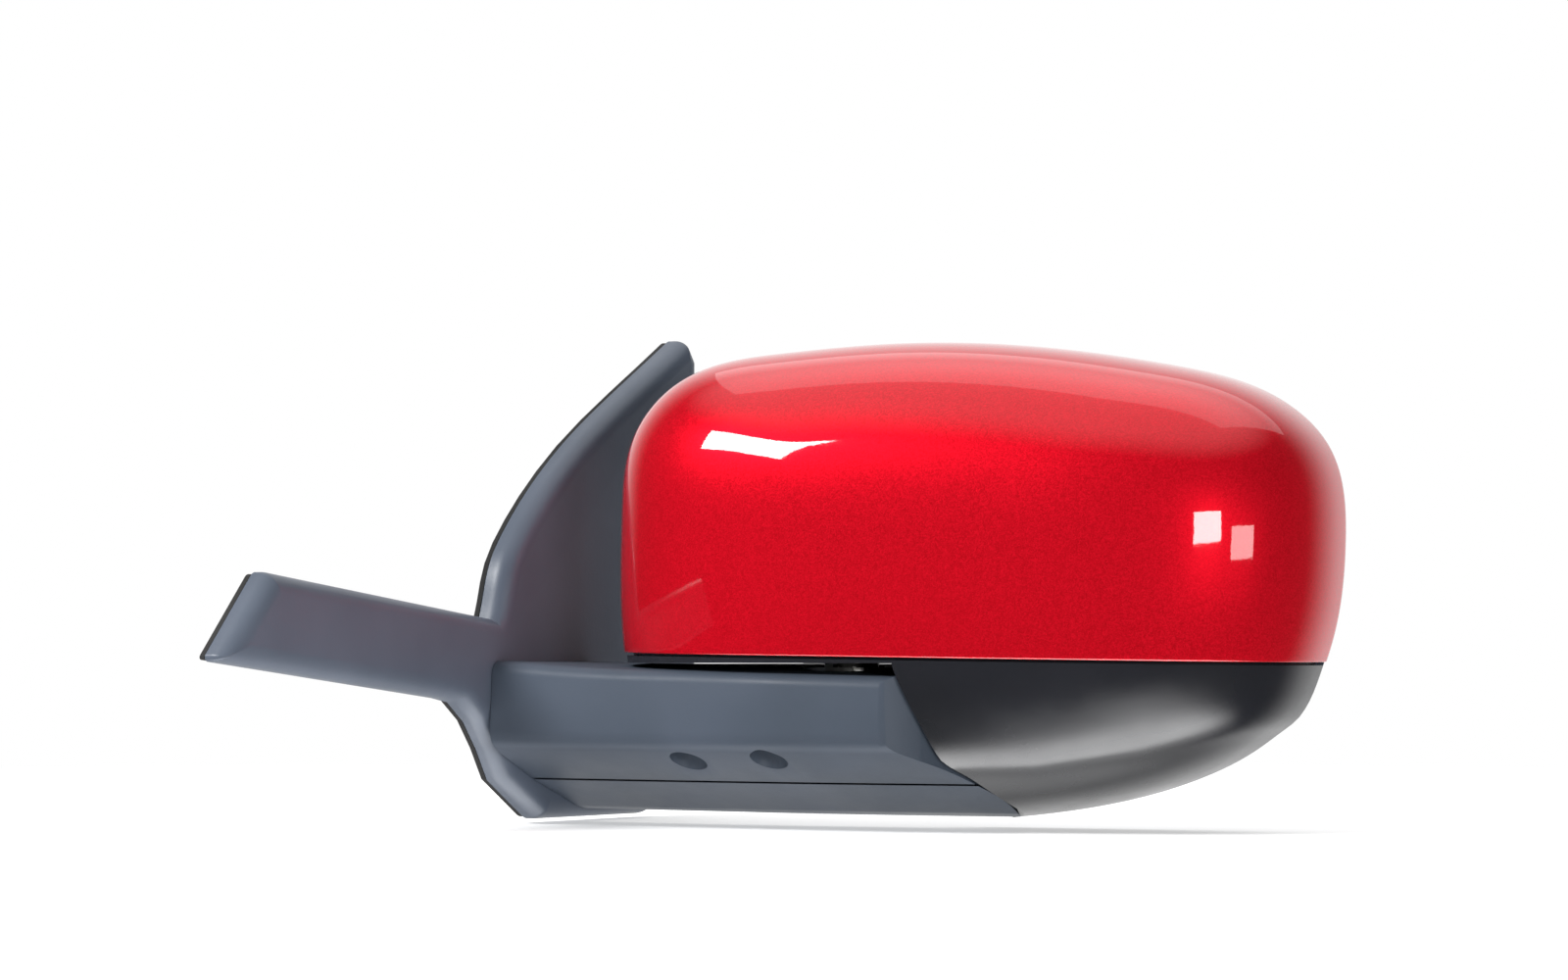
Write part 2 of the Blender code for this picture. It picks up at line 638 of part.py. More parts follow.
def detent_teeth(key, z_low, z_high, parent, place, widen):
    """Three blocks evenly round the axis, for teeth, or widened for their notches."""
    for k in range(3):
        turn = math.radians(120 * k + 30)
        mid = 0.5 * (POST_R + 1.2 + DETENT_R - 1)
        long, wide = DETENT_R - POST_R - 3.4 + widen, 3.0 + widen
        corner = [(mid - long / 2, -wide / 2), (mid + long / 2, -wide / 2), (mid + long / 2, wide / 2),
                  (mid - long / 2, wide / 2)]
        spun = [(x * math.cos(turn) - y * math.sin(turn), x * math.sin(turn) + y * math.cos(turn)) for x, y in corner]
        block = loft([[(x + place[0], y + place[1], z) for x, y in spun] for z in (z_low, z_high)])
        yield helper(f"{key}_{k + 1}", block, parent)


def build_detents(head):
    """Lower ring on the bracket with three teeth, upper ring in the head with three notches."""
    low = BOSS_TOP + GAP
    top = low + DETENT_THICK
    lower = part("detent_ring_lower", moved(ring(POST_R + GAP, DETENT_R, low, top), (AXIS_X, 0, 0)), steel())
    for tooth in detent_teeth("detent_tooth", top - 1, top + DETENT_TOOTH, None, (AXIS_X, 0), 0):
        add(lower, tooth)
    base = top + DETENT_CLEAR
    upper = part("detent_ring_upper", ring(POST_R + RUN, DETENT_R, base, base + DETENT_THICK), steel(), head)
    for notch in detent_teeth("detent_notch", base - 1, base + DETENT_TOOTH, head, (0, 0), 0.8):
        cut(upper, notch)
    return base + DETENT_THICK


# ---------------------------------------------------------------- head: everything that folds

def build_cap(head):
    """Painted cap over the front, top and outer end."""
    cap = part("cap", head_form(0, 60), paint_red(), head)
    cut(cap, helper("cap_hollow", head_form(WALL, 90), head))
    keep(cap, helper("cap_above", split_box(True, GAP), head))
    keep(cap, helper("cap_front", box((-200, -150, -150), (300, CAP_BACK, 250)), head))


def build_lower_cover(head):
    """Black underside of the head, with a floor over the arm and a wall round its end."""
    cover = part("lower_cover", head_form(SEAM, 60), black_plastic(), head)
    keep(cover, helper("lower_below", split_box(False, -SEAM + GAP), head))
    keep(cover, helper("lower_front", box((-200, -150, -150), (300, CAP_BACK, 250)), head))
    hollow = helper("lower_hollow", head_form(SEAM + WALL, 90), head)
    carve_arm_room(hollow, 1.7, head, "lower_wall")
    cut(cover, hollow)
    carve_arm_room(cover, 0, head, "lower_room")
    cut(cover, helper("lower_hub_hole", rod(DETENT_R + 1.2, 0, 40, 32), head))


def build_bezel(head):
    """Rear housing round the glass: rear face, outer wall and the funnel that the glass moves in."""
    front = CAP_BACK + SEAM
    slab_box = box((-200, front, -150), (300, RIM_Y, 250))
    bezel = part("bezel", head_form(SEAM, 60), black_plastic(), head)
    keep(bezel, helper("bezel_slab", slab_box, head))
    hollow = helper("bezel_hollow", head_form(SEAM + WALL, 60), head)
    keep(hollow, helper("bezel_hollow_depth", box((-200, 0, -150), (300, RIM_Y - BEZEL_BACK, 250)), head))
    carve_arm_room(hollow, 2.0, head, "bezel_wall")
    cut(hollow, helper("bezel_funnel_keep", slab(opening_outline(OPENING_GAP + WALL), -20, 80), head))
    cut(bezel, hollow)
    carve_arm_room(bezel, 0, head, "bezel_room")
    add(bezel, helper("bezel_funnel", slab(opening_outline(OPENING_GAP + WALL), FUNNEL_FRONT, RIM_Y - 1), head))
    cut(bezel, helper("bezel_opening", slab(opening_outline(OPENING_GAP), -20, 80), head))
    for k, ((x, z), (low, high)) in enumerate(zip(LUG_PLACES, LUG_ENDS)):
        lug = box((x - 6, LUG_BACK - LUG_THICK, low), (x + 6, LUG_BACK, high))
        add(bezel, helper(f"bezel_lug_{k + 1}", lug, head))
        bore = moved(rod(SCREW_R + GAP, -5, 30, 12), (x, 0, z), (0, 1, 0))
        cut(bezel, helper(f"bezel_lug_bore_{k + 1}", bore, head))
        profile = [(0.8, -LUG_THICK - 9), (SCREW_R, -LUG_THICK - 7), (SCREW_R, GAP), (3.8, GAP), (3.8, 2.0), (2.6, 2.4)]
        part(f"bezel_screw_{k + 1}", moved(turned(profile, 16), (x, LUG_BACK, z), (0, 1, 0)), steel(), head)


def build_frame(head, hub_low):
    """Glass-filled nylon frame: hub round the post, plate behind the actuator and two screw posts."""
    outline = rounded([(-17, 30, 6), (92, 36, 14), (100, 92, 14), (40, 108, 10), (19, 98, 8), (19, 52, 4),
                       (-17, 52, 6)], 4)
    frame = part("head_frame", slab(outline, FRAME_FRONT, FRAME_FRONT + FRAME_THICK), nylon(), head)
    hub = helper("frame_hub", rod(HUB_R, hub_low + GAP, HUB_TOP, 32), head)
    web = helper("frame_web", box((-2, FRAME_FRONT, 32), (2, HUB_R - 2, HUB_TOP - 6)), head)
    add(frame, hub, web)
    for k, (x, z) in enumerate(LUG_PLACES):
        front, back = FRAME_FRONT, LUG_BACK - LUG_THICK - GAP
        add(frame, helper(f"frame_post_{k + 1}", moved(rod(4.2, front, back, 20), (x, 0, z), (0, 1, 0)), head))
        foot = box((x - 6, front, min(z - 4.6, 60)), (x + 6, front + FRAME_THICK, max(z + 4.6, 60)))
        add(frame, helper(f"frame_foot_{k + 1}", foot, head))
        bore = moved(rod(SCREW_R + GAP, back - 12, back + 5, 12), (x, 0, z), (0, 1, 0))
        cut(frame, helper(f"frame_post_bore_{k + 1}", bore, head))
    cut(frame, helper("frame_bore", rod(BUSH_R + GAP, 0, 120, 32), head))
    part("pivot_bush", ring(POST_R + RUN, BUSH_R, hub_low + GAP, HUB_TOP, 32), grey_nylon(), head)


def build_spring(head):
    """Spring over the hub and the retaining washer on the post above it."""
    low, high = HUB_TOP + GAP, POST_HIGH - RETAINER_THICK - 3
    part("fold_spring", moved(coil(SPRING_R, SPRING_WIRE, SPRING_TURNS, low, high), (AXIS_X, 0, 0)), steel())
    washer = ring(POST_R + GAP, DETENT_R, high + GAP, high + GAP + RETAINER_THICK)
    part("spring_retainer", moved(washer, (AXIS_X, 0, 0)), steel())


# ---------------------------------------------------------------- actuator and glass

def build_actuator(head, pivot):
    """Two-motor actuator: case, cover with the gimbal post, motors and three screws."""
    corners = [(-CASE_R, -CASE_R, 14), (CASE_R, -CASE_R, 14), (CASE_R, CASE_R, 14), (-CASE_R, CASE_R, 14)]
    outline = rounded(corners, 5)
    inner = inset(outline, CASE_WALL)
    seam = CASE_BACK - COVER_THICK
    case = part("actuator_case", slab(outline, CASE_FRONT, seam - GAP), nylon(), pivot)
    cut(case, helper("case_hollow", slab(inner, CASE_FRONT + CASE_WALL, 20), pivot))
    cover = part("actuator_cover", slab(outline, seam, CASE_BACK), grey_nylon(), pivot)
    post = helper("cover_post", moved(rod(RING_IN - 2.2, seam, 3.2, 24), (0, 0, 0), (0, 1, 0)), pivot)
    add(cover, post)
    cut(cover, helper("cover_pin_bore", rod(CROSS_PIN_R + GAP, -20, 20, 16), pivot))
    for key, (x, z) in PLUNGERS.items():
        hole = moved(rod(PLUNGER_R + 2 * GAP, -20, 0, 24), (x, 0, z), (0, 1, 0))
        cut(cover, helper(f"cover_hole_{key}", hole, pivot))
    for k, (x, z) in enumerate(CASE_SCREWS):
        ear = moved(rod(4.0, CASE_FRONT + 1, seam - GAP, 16), (x, 0, z), (0, 1, 0))
        add(case, helper(f"case_boss_{k + 1}", ear, pivot))
        bore = moved(rod(SCREW_R + GAP, -50, 0, 12), (x, 0, z), (0, 1, 0))
        cut(case, helper(f"case_bore_{k + 1}", bore, pivot))
        cut(cover, helper(f"cover_bore_{k + 1}", bore, pivot))
        cut(bpy.data.objects["head_frame"], helper(f"frame_bore_{k + 1}", bore, pivot))
        profile = [(0.8, CASE_FRONT - 4.5), (SCREW_R, CASE_FRONT - 2.5), (SCREW_R, CASE_BACK + GAP),
                   (3.6, CASE_BACK + GAP), (3.6, CASE_BACK + 2.2), (2.6, CASE_BACK + 2.6)]
        part(f"actuator_screw_{k + 1}", moved(turned(profile, 16), (x, 0, z), (0, 1, 0)), steel(), pivot)


PLUNGERS = {"tilt": (0.0, -LEVER), "pan": (LEVER, 0.0)}
CASE_SCREWS = [(-25, 25), (26, -26), (-26, -26)]
DRIVE_Y = 0.5 * (CASE_FRONT + CASE_BACK - COVER_THICK)
WORM_OFFSET = WHEEL_R + WORM_R - 0.55      # thread and teeth overlap in depth, with play on both sides


def drive_point(key, along, across):
    """A point near a plunger: along its worm, away from the wheel, and across, from the plunger to the worm."""
    x, z = PLUNGERS[key]
    if key == "tilt":
        return (x - across, DRIVE_Y, z + along)
    return (x - along, DRIVE_Y, z + across)


def worm_direction(key):
    return (0, 0, 1) if key == "tilt" else (-1, 0, 0)


def toothed(radius, teeth, depth, low, high):
    """A spur gear blank about +Z with straight, narrow teeth."""
    line = []
    for k in range(teeth):
        for share, reach in ((-0.26, radius - depth), (-0.13, radius), (0.13, radius), (0.26, radius - depth)):
            turn = 2 * math.pi * (k + share) / teeth
            line.append((reach * math.cos(turn), reach * math.sin(turn)))
    return loft([[(x, y, z) for x, y in line] for z in (low, high)])


def build_drive(key, pivot):
    """Jack screw with its ball, the wheel nut on it, and the motor with its worm."""
    x, z = PLUNGERS[key]
    ball = [(BALL_R * math.cos(math.radians(a)), BALL_R * math.sin(math.radians(a))) for a in (-50, -25, 0, 25, 50, 75)]
    bottom = CASE_FRONT + CASE_WALL + 5
    profile = [(PLUNGER_R - 0.5, bottom), (PLUNGER_R, bottom + 0.6), (PLUNGER_R, CASE_BACK + 4),
               (BALL_R * math.cos(math.radians(50)), -4.0), *ball]
    part(f"{key}_plunger", moved(turned(profile, 24), (x, 0, z), (0, 1, 0)), grey_nylon(), pivot)
    blank = toothed(WHEEL_R, WHEEL_TEETH, TOOTH, -WHEEL_THICK / 2, WHEEL_THICK / 2)
    wheel = part(f"{key}_wheel", moved(blank, (x, DRIVE_Y, z), (0, 1, 0)), grey_nylon(), pivot)
    bore = moved(rod(PLUNGER_R + GAP, -50, 20, 24), (x, 0, z), (0, 1, 0))
    cut(wheel, helper(f"{key}_wheel_bore", bore, pivot))
    direction = worm_direction(key)
    start = drive_point(key, 0, WORM_OFFSET)
    profile = [(1.0, -6.6), (WORM_R - 1, -6), (WORM_R - 1, 6), (1.0, 6.6), (1.0, 10.0)]
    worm = part(f"{key}_worm", moved(turned(profile, 16), start, direction), brass(), pivot)
    turn = math.pi if key == "tilt" else 0.0
    add(worm, helper(f"{key}_thread", moved(worm_thread(turn), start, direction), pivot))
    can = [(3.0, 10.6), (3.0, 11.4), (MOTOR_R, 11.4), (MOTOR_R, 11.4 + MOTOR_LENGTH), (2.2, 11.4 + MOTOR_LENGTH + 0.8)]
    motor = part(f"{key}_motor", moved(turned(can, 24), start, direction), steel(), pivot)
    cut(motor, helper(f"{key}_motor_mouth", moved(rod(1.5, 0, 16, 16), start, direction), pivot))


def worm_thread(start):
    """One helical rib with a pitch of one wheel tooth. A gap faces the wheel's nearest tooth."""
    pitch = 2 * math.pi * (WHEEL_R - TOOTH / 2) / WHEEL_TEETH
    turns, per_turn = 4, 10
    rings = []
    for k in range(turns * per_turn + 1):
        turn = start + 2 * math.pi * k / per_turn
        z = pitch * (k / per_turn - turns / 2)
        out = Vector((math.cos(turn), math.sin(turn), 0))
        root, crest = out * (WORM_R - 1.3), out * (WORM_R - 0.1)
        half = (pitch * 0.2, pitch * 0.1)
        rings.append([root + Vector((0, 0, z + half[0])), crest + Vector((0, 0, z + half[1])),
                      crest + Vector((0, 0, z - half[1])), root + Vector((0, 0, z - half[0]))])
    return loft(rings)


def build_gimbal(pivot):
    """Ring between the cover's post and the glass carrier, with a pin pair on each axis."""
    band = moved(ring(RING_IN, RING_OUT, -1.8, 1.8, 32), (0, 0, 0), (0, 1, 0))
    gimbal = part("gimbal_ring", band, grey_nylon(), pivot)
    for k, side in enumerate((1, -1)):
        upright = moved(rod(CROSS_PIN_R, 3.6, RING_IN + 1, 16), (0, 0, 0), (0, 0, side))
        level = moved(rod(CROSS_PIN_R, RING_OUT - 1, RING_OUT + 4.2, 16), (0, 0, 0), (side, 0, 0))
        add(gimbal, helper(f"gimbal_upright_{k + 1}", upright, pivot), helper(f"gimbal_level_{k + 1}", level, pivot))


def shifted(outline):
    """A head outline as seen from the glass pivot."""
    return [(x - PIVOT[0], z - PIVOT[2]) for x, z in outline]


def build_glass(pivot):
    """Glass, heater pad and the carrier that clips round them and rides on the gimbal."""
    face = GLASS_FACE - PIVOT[1]
    line = shifted(opening_outline(0))
    glass_line, plate_line = inset(line, CARRIER_LIP), line
    part("mirror_glass", slab(glass_line, face - GLASS_THICK, face), mirror(), pivot)
    heater_back = face - GLASS_THICK - GAP
    heater_front = heater_back - HEATER_THICK
    part("heater_pad", slab(inset(line, CARRIER_LIP + 5), heater_front, heater_back), rubber(), pivot)
    back = heater_front - GAP
    carrier = part("glass_carrier", slab(plate_line, back - CARRIER_THICK, face - GLASS_THICK + 1.2), nylon(), pivot)
    pocket = slab(inset(line, CARRIER_LIP - GAP), back, 30)
    cut(carrier, helper("carrier_pocket", pocket, pivot))
    for k, side in enumerate((1, -1)):
        inside, outside = RING_OUT + 1.0, RING_OUT + 4.8
        low, high = sorted((side * inside, side * outside))
        ear = box((low, -3.4, -3.6), (high, back - CARRIER_THICK + 1, 3.6))
        add(carrier, helper(f"carrier_ear_{k + 1}", ear, pivot))
    bore = moved(rod(CROSS_PIN_R + GAP, -30, 30, 16), (0, 0, 0), (1, 0, 0))
    cut(carrier, helper("carrier_pin_bore", bore, pivot))
    for key, (x, z) in PLUNGERS.items():
        cup = moved(rod(BALL_R + 2.6, 0.5, back - CARRIER_THICK + 1, 20), (x, 0, z), (0, 1, 0))
        add(carrier, helper(f"carrier_cup_{key}", cup, pivot))
        hollow = moved(rod(BALL_R + 0.9, -5, BALL_R + 0.9, 20), (x, 0, z), (0, 1, 0))
        cut(carrier, helper(f"carrier_socket_{key}", hollow, pivot))


def build():
    clear_scene()
    head = frame_empty("fold_axis", (AXIS_X, 0, 0), turn=SWEEP)
    pivot = frame_empty("glass_pivot", PIVOT, head)
    build_bracket()
    build_studs()
    build_grommet()
    build_sail()
    build_gasket()
    build_arm_covers()
    build_post()
    hub_low = build_detents(head)
    build_cap(head)
    build_lower_cover(head)
    build_bezel(head)
    build_frame(head, hub_low)
    build_spring(head)
    build_actuator(head, pivot)
    for key in PLUNGERS:
        build_drive(key, pivot)
    build_gimbal(pivot)
    build_glass(pivot)


build()
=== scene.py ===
"""The car door mirror's looks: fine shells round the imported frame, moulded and painted materials, studio.

Sizes are millimetres until a mesh is made, which turns them into metres. The outlines are those of the
frame's own parts. Head axes: x out along the head, y to the rear, z up, from the fold axis.
"""

import json
import math

import bmesh
import bpy
import numpy as np
from mathutils import Matrix, Vector


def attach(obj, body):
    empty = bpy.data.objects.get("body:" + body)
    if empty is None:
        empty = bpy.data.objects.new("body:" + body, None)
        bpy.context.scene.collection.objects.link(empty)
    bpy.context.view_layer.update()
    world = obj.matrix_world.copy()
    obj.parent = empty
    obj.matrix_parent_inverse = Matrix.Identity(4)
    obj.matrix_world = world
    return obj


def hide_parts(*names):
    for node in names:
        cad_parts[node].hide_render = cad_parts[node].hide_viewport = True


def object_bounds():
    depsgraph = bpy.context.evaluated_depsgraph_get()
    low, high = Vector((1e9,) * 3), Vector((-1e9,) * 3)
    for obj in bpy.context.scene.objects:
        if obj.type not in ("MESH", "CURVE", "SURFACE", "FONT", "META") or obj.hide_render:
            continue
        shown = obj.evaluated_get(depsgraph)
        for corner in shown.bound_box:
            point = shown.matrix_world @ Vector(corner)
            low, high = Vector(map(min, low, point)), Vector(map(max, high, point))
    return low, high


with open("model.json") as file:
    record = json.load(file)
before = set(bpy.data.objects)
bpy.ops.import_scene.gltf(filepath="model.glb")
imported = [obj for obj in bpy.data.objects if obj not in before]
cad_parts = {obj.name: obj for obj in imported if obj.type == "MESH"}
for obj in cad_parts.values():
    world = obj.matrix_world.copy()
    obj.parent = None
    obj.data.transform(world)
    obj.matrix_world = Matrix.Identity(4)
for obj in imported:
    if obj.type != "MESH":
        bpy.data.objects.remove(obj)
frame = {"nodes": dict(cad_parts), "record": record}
CAD_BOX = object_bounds()

MM = 0.001
GAP = 0.3
WALL = 2.6
SEAM = 0.8

# --- Places from the frame ---
JOINTS = {joint["name"]: joint for joint in frame["record"]["behaviour"]["joints"]}
FOLD = Vector(JOINTS["head_fold"]["pos_m"])
AXIS_X = FOLD.x / MM
OUTWARD = Vector(JOINTS["glass_tilt"]["axis"])
SWEEP = math.atan2(OUTWARD.y, OUTWARD.x)
HEAD = Matrix.Translation(FOLD) @ Matrix.Rotation(SWEEP, 4, "Z")

# --- Head ---
RIM_Y = 41.0
HEAD_DEPTH = 81.0
RIM_POINTS = [(-86, 70), (-82, 96), (-66, 114.5), (-30, 123.3), (15, 125.7), (60, 123.2), (100, 117),
              (132, 107.2), (152, 89), (157, 57), (152.5, 26), (138, -1), (110, -18.8), (64, -30.5),
              (14, -35), (-38, -33), (-72, -16.5), (-84, 14)]
HEAD_MIDDLE = (38, 52)
DEPTH_POWER = 3.0
SIDE_POWER = 3.6
HEIGHT_POWER = 2.9
HALF_WIDTH = 100.0          # only sets how the rings are spaced
RIDGE = 1.6
RIDGE_LINE = [(-90, -14), (35, -13), (69, -12.4), (103, -7.3), (138, 1.5), (160, 9)]
RIDGE_ABOVE, RIDGE_BELOW = 9.0, 4.0
CAP_BACK = 36.5
CAP_WALL = 2.4
LIP = 0.7
SLIVER = 0.45               # shorter edges along a cut are closed up
SPLIT_Z = 21.0
SPLIT_FALL = 0.014
FLOOR_Z = 19.2
CONE = [(44.5, 17.0), (46.5, -12.0), (58.0, -37.0)]
CONE_GAP = 1.4
HOLE_R = 17.2
REAR_ROUND = 5.0
RIB = 1.6
RIB_OVERLAP = 0.4
HOLLOW_BACK = 90

# --- Reach of the cutters, past every piece ---
INBOARD, OUTBOARD = -200, 300
BELOW, ABOVE = -150, 250
AHEAD, BEHIND_HEAD = -150, 60
PLAN = [(INBOARD, -150), (OUTBOARD, -150), (OUTBOARD, 150), (INBOARD, 150)]
PLAN_BOTTOM = -250
ROOM_SIDE = 180
ROOM_FLARE = 60

# --- Glass ---
GLASS_POINTS = [(-66, 68), (-64, 91), (-52, 104.5), (-20, 110.5), (20, 111.5), (64, 107.5), (104, 98.5),
                (129, 88.5), (140, 75), (142.5, 56), (138, 35), (126, 19), (101, 13), (62, 24.5),
                (20, 32.5), (-20, 36), (-50, 40), (-62, 50)]
GLASS_FACE = 34.4
GLASS_THICK = 2.2
GLASS_DOME = 3600.0
GLASS_EDGE = [(0.0, 0.55), (0.25, 0.18), (0.7, 0.03)]      # inwards from the lip, down from the face
CARRIER_LIP = 1.6
OPENING_GAP = 4.2
FUNNEL_FRONT = 15.0
MOUTH_ROUND = [(-2.2, 0), (-1.3, 0.35), (-0.6, 0.95), (-0.1, 1.8), (0.4, 3.2)]      # past the rim, outwards
BEZEL_BACK = 2.6
LUG_PLACES = [(54, 106), (68, 25)]
LUG_BACK = 16.8
LUG_THICK = 2.8
LUG_HALF = 6.0
LUG_ENDS = [(99, 114.6), (13, 31)]
SCREW_R = 2.0

# --- Sail and arm ---
SAIL_BACK = 2.2
SAIL_FACE = 12.0
SAIL_ROUND = 6.6
SAIL_EDGE_FLAT = 3.0
SAIL_CURVE = [(-35, 34), (-24, 60), (14, 94.5), (82, 135)]
SAIL_TIP = (88, 127)
SAIL_REAR_FOOT = (88, -4)
SAIL_BOTTOM_REAR = (60, -34)
SAIL_BOTTOM_FRONT = (-8, -34)
SAIL_TOE = (-30, -20.5)
SCOOP = [(-62, 7.5), (-53, 6), (-44, -0.5), (-36.5, -10)]
TAB_TOE = (-181, 20)
TAB_TOP = (-156, 48)
BEAM_FRONT, BEAM_REAR = -17.0, 15.0
BEAM_TOP, BEAM_BOTTOM = 11.0, -14.0
ARM_STATIONS = [12.3, 50, 90, 128, 165, 205]
ARM_FRONT = [-42, -42.5, -42, -39.5, -33, -24]
ARM_TOP = [20.0, 17.6, 16.6, 15.6, 14.6, 13.6]
ARM_CROWN = [19.4, 18.9, 19.0, 19.0, 19.0, 19.0]
ARM_REAR = [20, 20, 23, 30, 36, 42]
ARM_LEAN = 1.5
ARM_CREASE = -8.0
ARM_SKIRT = (26, -20.5)
ARM_BOTTOM = (52, -30)
ARM_REAR_FOOT = -32.0
ARM_SPLIT = -20.0
WELL_PLACES = [(85, -32), (116, -32)]
WELL_R = 6.2
WELL_WALL = 1.6
WELL_FLOOR = -3.0
SHARP = 42.0


# ---------------------------------------------------------------- lines and shapes

def even(points, count, closed):
    """The same line at equal steps."""
    line = np.array(points, float)
    if closed:
        line = np.vstack([line, line[:1]])
    length = np.concatenate([[0], np.cumsum(np.linalg.norm(np.diff(line, axis=0), axis=1))])
    marks = np.linspace(0, length[-1], count, endpoint=not closed)
    return [tuple(float(np.interp(m, length, line[:, k])) for k in range(line.shape[1])) for m in marks]


def closed_spline(knots, count):
    """Points spread evenly along a smooth closed curve through the knots."""
    p = np.array(knots, float)
    n = len(p)
    after = np.roll(p, -1, axis=0)
    span = np.linalg.norm(after - p, axis=1)
    before = np.roll(span, 1)
    system = np.diag(2 * (before + span))
    for i in range(n):
        system[i, i - 1] += before[i]
        system[i, (i + 1) % n] += span[i]
    slope = (after - p) / span[:, None]
    bend = np.linalg.solve(system, 6 * (slope - np.roll(slope, 1, axis=0)))
    fine = []
    for i in range(n):
        j = (i + 1) % n
        for t in np.linspace(0, 1, 60, endpoint=False):
            u, h = 1 - t, span[i]
            fine.append(u * p[i] + t * p[j] + h * h / 6 * ((u**3 - u) * bend[i] + (t**3 - t) * bend[j]))
    return even(fine, count, closed=True)


def eased(stations, values, at):
    """A value between stations, with a smooth slope."""
    slopes = np.gradient(np.array(values, float), np.array(stations, float))
    k = int(np.clip(np.searchsorted(stations, at) - 1, 0, len(stations) - 2))
    h = stations[k + 1] - stations[k]
    t = (at - stations[k]) / h
    return float(
        (2 * t**3 - 3 * t**2 + 1) * values[k]
        + (t**3 - 2 * t**2 + t) * h * slopes[k]
        + (3 * t**2 - 2 * t**3) * values[k + 1]
        + (t**3 - t**2) * h * slopes[k + 1]
    )


def inset(outline, distance):
    """The outline moved inwards. It runs anticlockwise."""
    line = np.array(outline, float)
    to_here = line - np.roll(line, 1, axis=0)
    to_next = np.roll(line, -1, axis=0) - line
    to_here /= np.linalg.norm(to_here, axis=1)[:, None]
    to_next /= np.linalg.norm(to_next, axis=1)[:, None]
    side = np.stack([-(to_here + to_next)[:, 1], (to_here + to_next)[:, 0]], axis=1)
    side /= np.linalg.norm(side, axis=1)[:, None]
    spread = np.clip(side[:, 0] * -to_next[:, 1] + side[:, 1] * to_next[:, 0], 0.3, 1)
    return [tuple(p) for p in line + side * (distance / spread)[:, None]]


def rounded(corners, steps=10, distance=0.0):
    """An outline moved inwards, with arcs in place of its corners (x, y, radius). It runs anticlockwise."""
    line = inset([c[:2] for c in corners], distance)
    corners = [(x, y, c[2] and max(c[2] - distance, 0.4)) for (x, y), c in zip(line, corners)]
    made = []
    n = len(corners)
    for i, (x, y, radius) in enumerate(corners):
        here = Vector((x, y))
        to_last = (Vector(corners[i - 1][:2]) - here).normalized()
        to_next = (Vector(corners[(i + 1) % n][:2]) - here).normalized()
        half = to_last.angle(to_next) / 2
        if radius == 0:
            made.append((x, y))
            continue
        reach = radius / math.tan(half)
        start, end = here + to_last * reach, here + to_next * reach
        centre = here + (to_last + to_next).normalized() * radius / math.sin(half)
        first = math.atan2(start.y - centre.y, start.x - centre.x)
        turn = (math.atan2(end.y - centre.y, end.x - centre.x) - first + math.pi) % (2 * math.pi) - math.pi
        for k in range(steps + 1):
            angle = first + turn * k / steps
            made.append((centre.x + radius * math.cos(angle), centre.y + radius * math.sin(angle)))
    return made


def loft(rings):
    """A closed body through rings of equal count, anticlockwise seen from the far end."""
    count = len(rings[0])
    points = [p for ring in rings for p in ring]
    faces = []
    for k in range(len(rings) - 1):
        for i in range(count):
            j = (i + 1) % count
            faces.append((k * count + i, k * count + j, (k + 1) * count + j, (k + 1) * count + i))
    faces.append(tuple(reversed(range(count))))
    last = (len(rings) - 1) * count
    faces.append(tuple(range(last, last + count)))
    return points, faces


def box(low, high):
    (x0, y0, z0), (x1, y1, z1) = low, high
    return loft([[(x0, y0, z), (x1, y0, z), (x1, y1, z), (x0, y1, z)] for z in (z0, z1)])


def turned(profile, steps=64):
    """A profile of (radius, height) turned about +Z. The profile runs up the outside."""
    rings = []
    for radius, height in profile:
        turns = [2 * math.pi * i / steps for i in range(steps)]
        rings.append([(radius * math.cos(t), radius * math.sin(t), height) for t in turns])
    return loft(rings)


def rod(radius, low, high, steps=64):
    return turned([(radius, low), (radius, high)], steps)


def moved(shape, offset=(0, 0, 0), along=(0, 0, 1)):
    """The shape with its +Z turned to run along a direction, then moved."""
    turn = Vector((0, 0, 1)).rotation_difference(Vector(along)).to_matrix()
    points, faces = shape
    return [turn @ Vector(p) + Vector(offset) for p in points], faces


def across_x(outline, x):
    return [(x, y, z) for y, z in outline]


def across_y(outline, y):
    return [(x, y, z) for x, z in reversed(outline)]


def slab(outline, front, back):
    """An (x, z) outline made solid between two depths."""
    return loft([across_y(outline, front), across_y(outline, back)])


# ---------------------------------------------------------------- objects

def mesh_object(name, shape, matrix=None):
    points, faces = shape
    mesh = bpy.data.meshes.new(name)
    mesh.from_pydata([Vector(p) * MM for p in points], [], faces)
    obj = bpy.data.objects.new(name, mesh)
    bpy.context.scene.collection.objects.link(obj)
    if matrix is not None:
        mesh.transform(matrix)
    return obj


def boolean(target, operation, shape):
    """One Boolean step with a passing cutter, applied at once."""
    cutter = mesh_object("cutter", shape) if isinstance(shape, tuple) else shape
    step = target.modifiers.new("step", "BOOLEAN")
    step.operation = operation
    step.object = cutter
    apply_modifiers(target)
    discard(cutter)


def apply_modifiers(obj):
    graph = bpy.context.evaluated_depsgraph_get()
    final = bpy.data.meshes.new_from_object(obj.evaluated_get(graph))
    obj.modifiers.clear()
    old = obj.data
    obj.data = final
    bpy.data.meshes.remove(old)


def discard(obj):
    mesh = obj.data
    bpy.data.objects.remove(obj)
    bpy.data.meshes.remove(mesh)


def cut(target, *shapes):
    for shape in shapes:
        boolean(target, "DIFFERENCE", shape)


def keep(target, *shapes):
    for shape in shapes:
        boolean(target, "INTERSECT", shape)


def join(target, *shapes):
    for shape in shapes:
        boolean(target, "UNION", shape)


